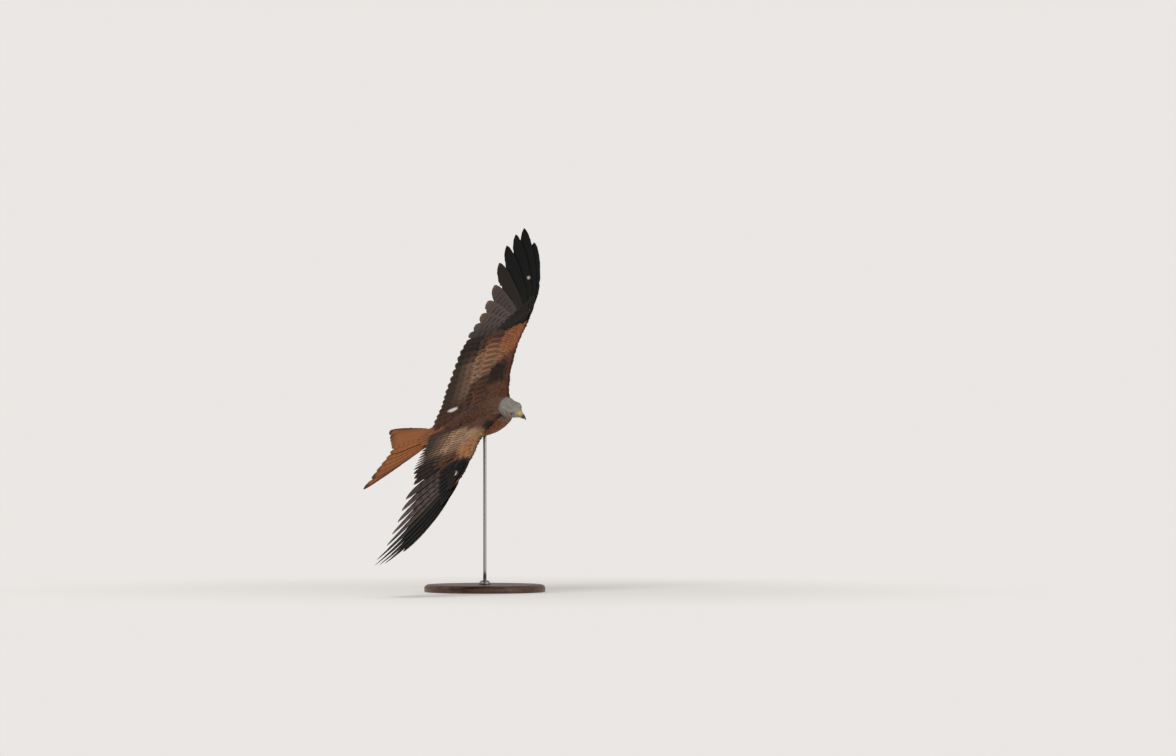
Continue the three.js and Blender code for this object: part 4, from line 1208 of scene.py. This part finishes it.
def layCoat(name, slotName, points, normals, length, width, lift, rows, tint=None):
    # Lays each feather flat in its own plane, then wraps it over the skin.
    n = len(points)
    lie = lieOfCoat(points, normals)
    swing = rng.normal(0, 0.09, n)[:, None]
    lie = lie * np.cos(swing) + np.cross(normals, lie) * np.sin(swing)
    cross = np.cross(normals, lie)
    t = 1 - (1 - np.linspace(0, 1, rows)) ** 1.2
    u, face, rim = across("tuft")
    shares = edgeShares("covert", t, n, coat["wear"])
    long, half, high = length[:, None, None], (width / 2)[:, None, None], lift[:, None, None]
    out = np.where(u > 0, u * shares[..., 0][..., None], u * shares[..., 1][..., None]) * half
    out = out + rng.normal(0, 0.05, n)[:, None, None] * (t**2)[:, None] * long
    flat = points[:, None, None] + lie[:, None, None] * (t[:, None] * long)[..., None]
    flat = flat + cross[:, None, None] * out[..., None]
    nearest = [skinTree.find_nearest(p) for p in flat.reshape(-1, 3)]
    found, up = (np.array([near[k] for near in nearest]).reshape(flat.shape) for k in (0, 1))
    leaving = smoothStep(np.linalg.norm(flat - found, axis=-1), *coat["leave"])[..., None]
    up = up * (1 - leaving) + normals[:, None, None] * leaving
    ground = found * (1 - leaving) + flat * leaving
    height = -np.minimum(1.0, 0.3 * high) + high * t[:, None] ** 0.9
    height = height - 0.16 * half * u**2 + np.where(face > 0, rim * 0.22, -0.15)
    base, edge, streak = bodyTone(points, normals)
    if tint:
        base, edge, streak = (mixColour(tone, other, 0.8) for tone, other in zip((base, edge, streak), tint))
    vary = rng.normal(1, 0.14, n)[:, None]
    t2, u2 = t[:, None], np.abs(u)
    edging = np.maximum(smoothStep(u2, 0.4, 1.0) * smoothStep(t2, 0.1, 0.6) * 0.8, smoothStep(t2, 0.72, 1.0))
    tone = mixColour(perVane(base * vary), perVane(edge * vary), edging)
    fade = 0.1 if slotName == "plumage_head" else 0.55
    mark = (1 - smoothStep(u2, 0.0, 0.42)) * (0.78 * (1 - smoothStep(t2, 0.75, 1.0) * fade))
    tone = mixColour(tone, perVane(streak), mark)
    region = regionOf(points)
    grid = {
        "points": ground + up * height[..., None], "colours": np.broadcast_to(tone, flat.shape),
        "t": t, "u": u,
        "lengths": length, "seeds": rng.random(n),
        "uv": (unwrap(points, region, turnOf(points, region)), np.full(2, vaneForm["patch"])),
    }
    return finished(vaneMesh(name, [grid]), bodyFinish, slotName)


def bareFace(points):
    # Where no feathers grow: the bill's base and the eyes.
    h = toHead(points)
    bare = h[:, 0] > 33.4
    for side, _ in bothSides:
        eye = np.array(headForm["eye"]) * [1, side, 1]
        bare |= (np.linalg.norm(h - eye - [0, side * 3.5, 0], axis=1) < 6.5) & (h[:, 1] * side > 0)
    return bare


def dressBody():
    points, normals = skinSamples(coat["candidates"])
    h = toHead(points)
    x, z, out = points[:, 0], points[:, 2], np.abs(points[:, 1])
    head = (h[:, 0] > -40) & (x > 70) & (np.hypot(h[:, 1], h[:, 2]) < 46)
    neck = ~head & (h[:, 0] > -76) & (x > 66) & (out < 78)
    neck &= np.hypot(points[:, 1] / 58, (z + 4) / 58) < 1.25
    rest = ~head & ~neck
    thigh = rest & (z < -29) & (x < -46) & (np.abs(out - 21) < 15)
    shoulder = rest & (out <= 92) & (out > 52) & (x > -60)
    shoulder &= (normals[:, 0] > -0.4) & ((normals[:, 2] > 0.1) | (x > -36))
    body = rest & ~thigh & ~shoulder & (x > -166) & (out < 54)
    head &= ~bareFace(points)

    def grow(part, slotName, where, rows, sizes, tint=None):
        pick = np.where(where)[0]
        pick = pick[thinned(points[pick], coat["spacing"][part])]
        p, m = points[pick], normals[pick]
        layCoat(part + "_feathers", "plumage_" + slotName, p, m, *sizes(p, m, len(p)), rows, tint)

    def headSizes(p, m, n):
        size = 4.8 + 7.5 * (1 - smoothStep(toHead(p)[:, 0], -34, 22))
        return size * rng.uniform(0.88, 1.14, n), 1.0 + size * 0.25, 0.9 + size * 0.09

    def faceSizes(p, m, n):
        return rng.uniform(3.2, 5.0, n), rng.uniform(1.1, 1.7, n), np.full(n, 1.0)

    def neckSizes(p, m, n):
        grown = 1 - smoothStep(toHead(p)[:, 0], -76, -36)
        return (11.5 + 10.5 * grown) * rng.uniform(0.92, 1.08, n), 3.9 + 4.2 * grown, 1.9 + 1.9 * grown

    def bodySizes(p, m, n):
        size = rng.uniform(29, 33, n) * (1 - 0.2 * smoothStep(p[:, 0], 20, 80))
        return size, size * 0.48, size * 0.155

    def shoulderSizes(p, m, n):
        size = rng.uniform(28, 32, n) * (1 - 0.5 * smoothStep(m[:, 0], 0.3, 0.9))
        return size, size * 0.48, size * 0.15

    def thighSizes(p, m, n):
        size = rng.uniform(15, 19, n) * (1 - 0.45 * smoothStep(-p[:, 0], 85, 108))
        size *= 1 - 0.62 * smoothStep(m[:, 0], -0.15, 0.5)
        return size, 1.5 + size * 0.3, size * 0.17

    rufous = (tones["breast"], tones["tawny"] * 0.8, tones["breast"] * 0.5)
    grow("head", "head", head, 6, headSizes)
    grow("face", "head", head & (h[:, 0] > 2), 5, faceSizes)
    grow("neck", "body", neck, 7, neckSizes)
    grow("body", "body", body, 7, bodySizes)
    grow("shoulder", "body", shoulder, 8, shoulderSizes)
    grow("thigh", "thigh", thigh & (x >= -109) & (normals[:, 0] < 0.8), 7, thighSizes, rufous)


dressBody()

# Rows of feathers over and under the tail's root: length, half width, start and count
rumpRows = {
    1: [(112, 10, 0, 7), (84, 10, -18, 7), (58, 9, -34, 6)],
    -1: [(126, 10, 2, 7), (98, 10, -18, 7), (66, 9, -34, 6)],
}


def tailCoverts():
    grids = []
    for facing, rowsOf in rumpRows.items():
        warm = tones["tail"] if facing > 0 else tones["vent"]

        def paint(t, u, flat, warm=warm):
            vary = rng.normal(1, 0.12, len(flat))[:, None, None, None]
            rim = np.maximum(smoothStep(np.abs(u), 0.4, 1) * 0.7, smoothStep(t, 0.7, 1))
            tone = mixColour(warm * 0.72 * vary, warm * 1.15, rim)
            return mixColour(tone, "tailDark", (1 - smoothStep(np.abs(u), 0.03, 0.3)) * 0.6)

        for row, (length, half, start, count) in enumerate(rowsOf):
            vanes = []
            for k in range(count):
                i = (k - (count - 1) / 2) * 0.8
                out = abs(i)
                place = {"x": 9.4 * i, "y": start + 14 - 3 * out, "angle": 4.2 * i}
                vanes.append(place | {"length": length - 9 * out, "out": out})
            vanes = each(vanes, ahead=half + 1, behind=half + 1, tilt=0.0, cup=1.6 * facing, shaft=0.2)
            high = facing * (9.6 + 1.8 * row - 1.5 * vanes["out"][:, None])
            vanes["rise"] = lambda r, high=high: high * smoothStep(r, -24, 26)
            k = np.arange(count)
            origin = np.stack([0.03 + 0.06 * k, 0.05 + 0.14 * row + (0.5 if facing < 0 else 0) + 0 * k], 1)
            uv = (origin, np.array([0.05, 0.12]))
            grids.append(layVanes(vanes, 14, "covert", "covert", tailPlace, 0.22, paint, uv))
    return finished(vaneMesh("tail_coverts", grids), covertFinish, "plumage_tail")


tailCoverts()
finishSkin()
print("coat laid")

# Bill, cere and eyes

billForm = {
    "cere": [
        [31.5, 8.6, -3.4, 8.2, 31.5], [33.3, 8.8, -3.4, 8.0, 33.3], [38, 9.2, -3.8, 7.4, 38],
        [42.2, 8.7, -4.1, 6.5, 42.2],
    ],
    "upper": [
        [41.4, 8.1, -4, 6.1, 41.4], [48, 6.6, -4.6, 5.3, 47], [53.2, 3, -5.6, 4.2, 51.4],
        [56.8, -2, -6.8, 3, 54.2],
        [58.4, -7.4, -9.4, 1.7, 56.2], [58.2, -12.6, -13.2, 0.4, 57.8],
    ],
    "lower": [
        [31.5, -3.8, -9.2, 6.6, 31.5], [40, -4.6, -9.9, 5.4, 40], [46, -5.3, -9.6, 4.3, 46.4],
        [50.4, -6.3, -9, 2.9, 51.2],
        [52.4, -7.6, -8.6, 1.1, 53.2],
    ],
    "nostril": (39.0, 7.6, 3.0),
    "square": 0.86,
}


def billRings(stations, rows, sides):
    # Stations are [x over, top, bottom, half width, x under], followed as curves.
    stations = np.array(stations, float)
    steps = np.diff((stations[:, [0, 1]] + stations[:, [4, 2]]) / 2, axis=0)
    walk = np.concatenate([[0], np.cumsum(np.hypot(*steps.T))])
    fine = curveThrough(np.column_stack([walk, stations]), np.linspace(0, walk[-1], rows))
    a = circle(sides)
    up, wide = (np.sign(k) * np.abs(k) ** billForm["square"] for k in (np.sin(a), np.cos(a)))
    wide = wide * (1 - 0.2 * np.maximum(0, np.sin(a)) ** 2)
    mid, rise = (fine[:, [0, 1]] + fine[:, [4, 2]]) / 2, (fine[:, [0, 1]] - fine[:, [4, 2]]) / 2
    x, z = (mid[:, k : k + 1] + rise[:, k : k + 1] * up for k in (0, 1))
    return np.stack([x, fine[:, 3:4] * wide, z], -1)


def tubeOn(name, tube, finish, slotName, colour, nodes=(), place=headPlace):
    # One tube as a piece of its own. colour is a name in tones, or takes the points and gives theirs.
    rows, sides, _ = tube.shape
    mesh = fused(name, [place(tube)])
    every = np.vstack([tube.reshape(-1, 3), tube[0].mean(0), tube[-1].mean(0)])
    painted = np.broadcast_to(tones[colour], every.shape) if isinstance(colour, str) else colour(every)
    setValues(mesh, "pelt", painted)
    corner = readOut(mesh.loops, "vertex_index", np.int32)
    sizes = readOut(mesh.polygons, "loop_total", np.int32)
    first = np.repeat(np.concatenate([[0], np.cumsum(sizes)[:-1]]), sizes)
    ringAt, rowAt = corner % sides, np.minimum(corner // sides, rows - 1)
    wrapped = (ringAt == 0) & (ringAt[first] > sides / 2)
    setMap(mesh, 0.02 + 0.96 * np.stack([(ringAt + wrapped * sides) / sides, rowAt / (rows - 1)], 1))
    return finished(mesh, finish, slotName, *nodes)


def hornMaterial():
    made, tree, shader = nodeTree("horn and bare skin")
    grain = noise(tree, Scale=900.0, Detail=4.0)
    tone = dimmed(tree, kept(tree, "pelt", "Color"), scaled(tree, grain, 0.3, 0.85))
    looks = {"Base Color": tone, "Roughness": scaled(tree, grain, 0.25, 0.25)}
    feed(tree, shader.inputs, {**looks, "Normal": bumped(tree, grain, 0.25, 0.0003)})
    return made


hornFinish = hornMaterial()


def cereColour(p):
    pits = [np.array(billForm["nostril"]) * [1, side, 1] for side, _ in bothSides]
    far = np.min([np.linalg.norm((p - pit) / [1.9, 2.4, 1.2], axis=1) for pit in pits], axis=0)
    # The dark oval at each nostril is painted shade for the opening, over a shallow dent
    return mixColour("yellow", "nostril", 1 - smoothStep(far, 0.75, 1.1))


def billColour(p):
    share = smoothStep(p[:, 0] - p[:, 2] * 0.35, 42, 53)
    return mixColour(tones["paleYellow"] * 0.75, "horn", 0.25 + 0.75 * share)


def buildBill():
    cere = billRings(billForm["cere"], 26, 72)
    for side, _ in bothSides:
        pit = np.array(billForm["nostril"]) * [1, side, 1]
        far = np.linalg.norm((cere - pit) / [1.9, 2.6, 1.2], axis=-1)
        cere[..., 1] -= side * 1.5 * (1 - smoothStep(far, 0.2, 1.0))
        cere[..., 1] += side * 0.35 * np.exp(-(((far - 1.25) / 0.3) ** 2))
    tubeOn("cere", cere, hornFinish, "skin", cereColour, ["cere"])
    for half, rows, sides in (("upper", 44, 48), ("lower", 36, 40)):
        name = "bill_" + half
        tubeOn(name, billRings(billForm[half], rows, sides), hornFinish, "horn", billColour, [name])
    for side, word in bothSides:
        # The yellow lip runs back from the bill to under the eye.
        start, end = 40.5, 21
        x = np.linspace(start, end, 22)[:, None]
        k = (start - x) / (start - end)
        thick = 0.85 * np.sqrt(np.clip(1 - (2 * k - 1) ** 4, 0.03, 1))
        wide = between(skinForm["head"], x) - headWidths(x)
        y = np.where(x > 33.5, 5.7 + (start - x) * 0.29, wide * 0.95 + 0.1)
        a = circle(14)
        lipOut = side * (y + np.cos(a) * thick * 0.8)
        lip = np.stack([x + 0 * a, lipOut, -4.3 - 1.0 * k**2 + np.sin(a) * thick * 0.75], -1)
        tubeOn("gape_" + word, lip if side > 0 else lip[:, ::-1], hornFinish, "skin", "gape")


eyeForm = {
    "gaze": (0.34, 0.93, 0.06), "cornea": 0.35,
    "lidAim": (0.2, 0.97, 0.08),
    "lidAngles": [0.93, 0.95, 1.0, 1.08, 1.2, 1.36, 1.5],
    "lidLifts": [-0.2, 0.45, 0.8, 0.85, 0.7, 0.2, -1.2],
}


def turnTo(start, aim, side):
    start, aim = (Vector((x, y * side, z)) for x, y, z in (start, aim))
    return np.array(start.rotation_difference(aim).to_matrix()).T


def eyeMaterial():
    made, tree, shader = nodeTree("eye")
    looks = {"Roughness": 0.16, "Coat Weight": 1.0, "Coat Roughness": 0.03, "Specular IOR Level": 0.5}
    feed(tree, shader.inputs, {"Base Color": kept(tree, "pelt", "Color"), **looks})
    return made


def eyeBall():
    # Rings round the line of sight, with the cornea's slight swell.
    polar, a = np.linspace(0.004, np.pi - 0.004, 56)[:, None], circle(64)
    radius = headForm["eyeRadius"] + eyeForm["cornea"] * np.exp(-((polar / 0.5) ** 2))
    x, y = np.sin(polar) * np.cos(a) * radius, np.sin(polar) * np.sin(a) * radius
    return np.stack([x, y, np.cos(polar) * radius + 0 * a], -1)


def lidRings(side):
    # A soft ring over the eye's edge, heavier above.
    a = circle(72)
    brow, low = np.maximum(0, np.sin(a)), np.maximum(0, -np.sin(a))
    lid = []
    for angle, lift in zip(eyeForm["lidAngles"], eyeForm["lidLifts"]):
        tilt = angle - 0.07 - 0.24 * brow - 0.06 * low + 0.1 * np.abs(np.cos(a)) ** 4
        r = headForm["eyeRadius"] + lift + (0.9 * brow if lift > 0.6 else 0)
        x, z = np.sin(tilt) * np.cos(a) * r, np.sin(tilt) * np.sin(a) * r
        lid.append(np.stack([x, np.cos(tilt) * r * side, z], -1))
    return np.array(lid) @ turnTo((0, 1, 0), eyeForm["lidAim"], side)


def buildEyes():
    finish = eyeMaterial()
    for side, word in bothSides:
        centre = np.array(headForm["eye"]) * [1, side, 1]
        gaze = np.array(Vector(eyeForm["gaze"]).normalized()) * [1, side, 1]

        def eyeColour(p, centre=centre, gaze=gaze):
            out = p - centre
            off = np.arccos(np.clip(unit(out) @ gaze, -1, 1))
            fleck = 1 + 0.12 * np.sin(np.arctan2(out[:, 2], out[:, 0]) * 31) * np.sin(off * 40)
            tone = mixColour(tones["iris"] * fleck[:, None], "irisRing", smoothStep(off, 0.66, 0.8))
            tone = mixColour(tone, tones["irisRing"] * 0.8, (1 - smoothStep(off, 0.4, 0.52)) * 0.6)
            return mixColour(tone, "pupil", 1 - smoothStep(off, 0.4, 0.44))

        def lidColour(p, centre=centre):
            inner = 1 - smoothStep(np.hypot(p[:, 0] - centre[0], p[:, 2] - centre[2]), 5.6, 6.6)
            return mixColour("lid", "lidEdge", inner * 0.5)

        ball = eyeBall() @ turnTo((0, 0, 1), gaze, 1) + centre
        tubeOn("eye_" + word, ball[::-1], finish, "eye", eyeColour, ["eye_" + word])
        lid = lidRings(side) + centre
        tubeOn("lid_" + word, lid if side < 0 else lid[:, ::-1], hornFinish, "skin", lidColour)


buildBill()
buildEyes()
print("bill and eyes")

# Feet

footForm = {
    "ankle": (-110.4, 18.0, -33.4),
    "toes": [(5.5, 30.0, 1.0), (0.0, 36.0, 1.0), (-5.5, 28.0, 1.0), (-1.0, 20.0, -1.0)],
    "scute": 2.6,
}


def bentTube(points, radii, rows, sides, scute=0.0):
    # A tube through points, with rings of scutes along it.
    points = np.asarray(points, float)
    walk = np.concatenate([[0], np.cumsum(np.linalg.norm(np.diff(points, axis=0), axis=1))])
    fine = curveThrough(np.column_stack([walk, points, radii]), np.linspace(0, walk[-1], rows))
    centre, radius = fine[:, :3], np.maximum(fine[:, 3], 0.12)
    tangent = unit(np.gradient(centre, axis=0))
    side = unit(np.cross(tangent, [0, 0, 1.0]))
    up = np.cross(side, tangent)
    a = circle(sides)
    swell = np.ones((rows, sides))
    if scute:
        place = np.linspace(0, walk[-1], rows) / scute
        swell += (0.09 * (place % 1) - 0.03)[:, None] * (0.4 + 0.6 * np.maximum(0, np.sin(a)))
    ring = side[:, None] * np.cos(a)[:, None] + up[:, None] * np.sin(a)[:, None]
    return centre[:, None] + ring * (radius[:, None] * swell)[..., None]


def toeLines(side, toe):
    # The line of a toe, and of the claw at its end.
    spread, length, curl = toe
    ankle = footForm["ankle"]
    foot = np.array([ankle[0] - 50, side * (ankle[1] - 2), ankle[2] - 1])

    def at(reach, dip):
        return foot + [-reach, side * spread * min(1, reach / 14), -dip * curl]

    knuckle, end = at(length * 0.7, 4), at(length * 0.92, 9)
    onward = (end - knuckle) / np.linalg.norm(end - knuckle)
    claw = [end - onward * 0.8, end + onward * 2.2, at(length * 0.99, 16.5), at(length * 0.82, 20.5)]
    return [at(-3, 0), at(length * 0.35, 0.5), knuckle, end], claw


def buildFeet():
    scute = footForm["scute"]
    for side, word in bothSides:
        ankle = np.array(footForm["ankle"]) * [1, side, 1]
        steps = ([5, 0, 0], [-8, 0, 0], [-28, -side, -0.5], [-50, -2 * side, -1], [-56, -2 * side, -1])
        shank = [ankle + step for step in steps]
        tubes = [bentTube(shank, [3.2, 3.4, 3.2, 4.3, 1.6], 90, 24, scute)]
        for toe in footForm["toes"]:
            tubes.append(bentTube(toeLines(side, toe)[0], [3.1, 2.8, 2.9, 2.3], 54, 18, scute * 0.8))
        foot = fused("foot_" + word, tubes)
        setValues(foot, "pelt", np.broadcast_to(tones["foot"], (len(foot.vertices), 3)))
        maps = []
        for k, tube in enumerate(tubes):
            rows, sides, _ = tube.shape
            index = np.arange(rows * sides)
            u = (k + 0.1 + 0.8 * (index % sides) / sides) / len(tubes)
            middle = (k + 0.5) / len(tubes)
            v = 0.02 + 0.96 * (index // sides) / rows
            maps += [np.stack([u, v], 1), [[middle, 0.02], [middle, 0.98]]]
        setMap(foot, np.vstack(maps)[readOut(foot.loops, "vertex_index", np.int32)])
        finished(foot, hornFinish, "skin", "foot_" + word)
        for k, toe in enumerate(footForm["toes"]):
            name = "claw_%s_%d" % (word, k + 1)
            claw = bentTube(toeLines(side, toe)[1], [1.9, 1.75, 1.1, 0.2], 26, 16)
            tubeOn(name, claw, hornFinish, "horn", "claw", [name], lambda p: p)


buildFeet()
print("feet")

# Stand

standForm = {
    "baseRadius": 180.0, "baseThick": 22.0, "rodRadius": 5.0, "collarRadius": 17.0,
    "collarHeight": 12.0, "gap": 0.3,
}


def woodMaterial():
    made, tree, shader = nodeTree("dark walnut")
    grain = noise(tree, (3.0, 46.0, 46.0), Scale=1.6, Detail=9.0, Roughness=0.62, Distortion=0.5)
    ramp = addNode(tree, "ValToRGB", Fac=grain)
    for stop, (position, code) in zip(ramp.color_ramp.elements, ((0.32, "2b1a10"), (0.7, "6b4529"))):
        stop.position = position
        stop.color = (*linear(code), 1)
    looks = {"Base Color": ramp.outputs["Color"], "Roughness": scaled(tree, grain, 0.2, 0.26)}
    feed(tree, shader.inputs, {**looks, "Normal": bumped(tree, grain, 0.12, 0.0004)})
    return made


def steelMaterial():
    made, tree, shader = nodeTree("brushed steel")
    rough = scaled(tree, noise(tree, (30.0, 30.0, 1400.0), Scale=1.0, Detail=4.0), 0.24, 0.2)
    feed(tree, shader.inputs, {"Base Color": (*linear("a9aaac"), 1), "Metallic": 1.0, "Roughness": rough})
    return made


def lathe(name, profile, sides, finish, slotName):
    p = np.array(profile, float)[:, :, None]
    a = circle(sides)
    ring = np.stack([p[:, 0] * np.cos(a), p[:, 0] * np.sin(a), p[:, 1] + 0 * a], -1) * mm
    mesh = fused(name, [ring], False)
    index = np.arange(len(p) * sides)
    uv = 0.02 + 0.96 * np.stack([(index % sides) / sides, (index // sides) / (len(p) - 1)], 1)
    setMap(mesh, np.vstack([uv, [[0.5, 0.01], [0.5, 0.99]]])[readOut(mesh.loops, "vertex_index", np.int32)])
    return finished(mesh, finish, slotName, name)


def buildStand():
    s = standForm
    steel = steelMaterial()
    r, thick, round1 = s["baseRadius"], s["baseThick"], math.pi / 2
    profile = [(0.5, 0), (r - 40, 0), (r - 3, 0), (r - 2.2, 0.1)]
    profile += [(r - 3 + 3 * math.sin(k), 3 - 3 * math.cos(k)) for k in np.linspace(0.3, round1, 6)]
    profile += [(r, 5), (r, thick - 9), (r - 0.2, thick - 8)]
    for k in np.linspace(0.1, round1, 10):
        ease = 1 - math.sin(k)
        out, up = r - 4 - 7 * (1 - math.cos(k)) + 3.4 * ease, thick - 2.6 + 2.6 * math.sin(k) - 5 * ease
        profile.append((out, up))
    profile += [(r - 11.4, thick), (r - 60, thick), (0.5, thick)]
    lathe("stand_base", profile, 128, woodMaterial(), "stand_wood")
    inner, low, wide = s["rodRadius"] + s["gap"] * 0.4, thick + 0.1, s["collarRadius"]
    collar = [(inner, low), (wide - 0.4, low), (wide, low + 0.5), (wide, thick + 3.4)]
    for k in np.linspace(0.02, 1, 10):
        collar.append((wide - 6 * (k**1.5), thick + 4 + (s["collarHeight"] - 4.4) * k))
    collar += [(wide - 6.5, thick + s["collarHeight"]), (inner, thick + s["collarHeight"])]
    lathe("stand_collar", collar, 64, steel, "stand_metal")
    low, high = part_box("stand_rod")
    rod = [(s["rodRadius"], z) for z in np.linspace(low[2] / mm + 0.01, high[2] / mm - 0.01, 12)]
    lathe("stand_rod", rod, 40, steel, "stand_metal")


buildStand()
print("stand")

# Room, lights and camera

room = {
    "sky": (*linear("eae7e4"), 1), "skyStrength": 0.56, "floor": (*linear("ece9e5"), 1), "floorRadius": 30.0,
    "aim": (0, 0, 0.55),
    "key": {"power": 185.0, "size": 2.4, "place": (-2.6, -3.4, 4.4)},
    "fill": {"power": 36.0, "size": 3.0, "place": (3.6, -3.0, 1.4)},
}


def joined(tree, share, first, second, out):
    mix = tree.nodes.new("ShaderNodeMixShader")
    feed(tree, mix.inputs, {0: share, 1: first, 2: second})
    tree.links.new(mix.outputs[0], out.inputs["Surface"])


def buildWorld():
    bpy.context.scene.view_settings.view_transform = "Standard"
    world = bpy.data.worlds.new("studio")
    bpy.context.scene.world = world
    world.use_nodes = True
    tree = world.node_tree
    back = tree.nodes["Background"]
    feed(tree, back.inputs, {"Color": room["sky"], "Strength": room["skyStrength"]})
    seen = addNode(tree, "Background", Color=room["sky"], Strength=1.0)
    share = addNode(tree, "LightPath").outputs["Is Camera Ray"]
    joined(tree, share, back.outputs[0], seen.outputs[0], tree.nodes["World Output"])


def floorMaterial():
    # Plain and pale, and lost in the light of the room further off.
    made, tree, shader = nodeTree("floor")
    feed(tree, shader.inputs, {"Base Color": room["floor"], "Roughness": 0.8})
    glow = addNode(tree, "Emission", Color=room["sky"])
    place = addNode(tree, "TexCoord").outputs["Object"]
    far = addNode(tree, "VectorMath", operation="LENGTH", Vector=place).outputs["Value"]
    fade = addNode(tree, "MapRange", interpolation_type="SMOOTHSTEP", Value=far)
    feed(tree, fade.inputs, {"From Min": 0.35, "From Max": 1.8, "To Min": 0.4})
    joined(tree, fade.outputs["Result"], shader.outputs[0], glow.outputs[0], tree.nodes["Material Output"])
    return made


def buildRoom():
    buildWorld()
    half = room["floorRadius"]
    mesh = bpy.data.meshes.new("floor")
    corners = [(x * half, y * half, -0.0005) for x, y in ((-1, -1), (1, -1), (1, 1), (-1, 1))]
    mesh.from_pydata(corners, [], [(0, 1, 2, 3)])
    mesh.materials.append(floorMaterial())
    made = [linked("floor", mesh)]
    for name in ("key", "fill"):
        light = bpy.data.lights.new(name, "AREA")
        light.energy = room[name]["power"]
        light.size = room[name]["size"]
        lamp = linked(name, light)
        lamp.location = room[name]["place"]
        lamp.rotation_euler = (Vector(room["aim"]) - lamp.location).to_track_quat("-Z", "Y").to_euler()
        made.append(lamp)
    return made


view = {"place": (0.3068, -19.994, 0.6357), "lens": 205.9}


def buildCamera():
    data = bpy.data.cameras.new("camera")
    data.lens = view["lens"]
    data.sensor_width = 36.0
    data.clip_end = 200.0
    camera = linked("camera", data)
    camera.location = view["place"]
    camera.rotation_euler = (math.pi / 2, 0, 0)
    bpy.context.scene.camera = camera


stagePieces = buildRoom()
buildCamera()
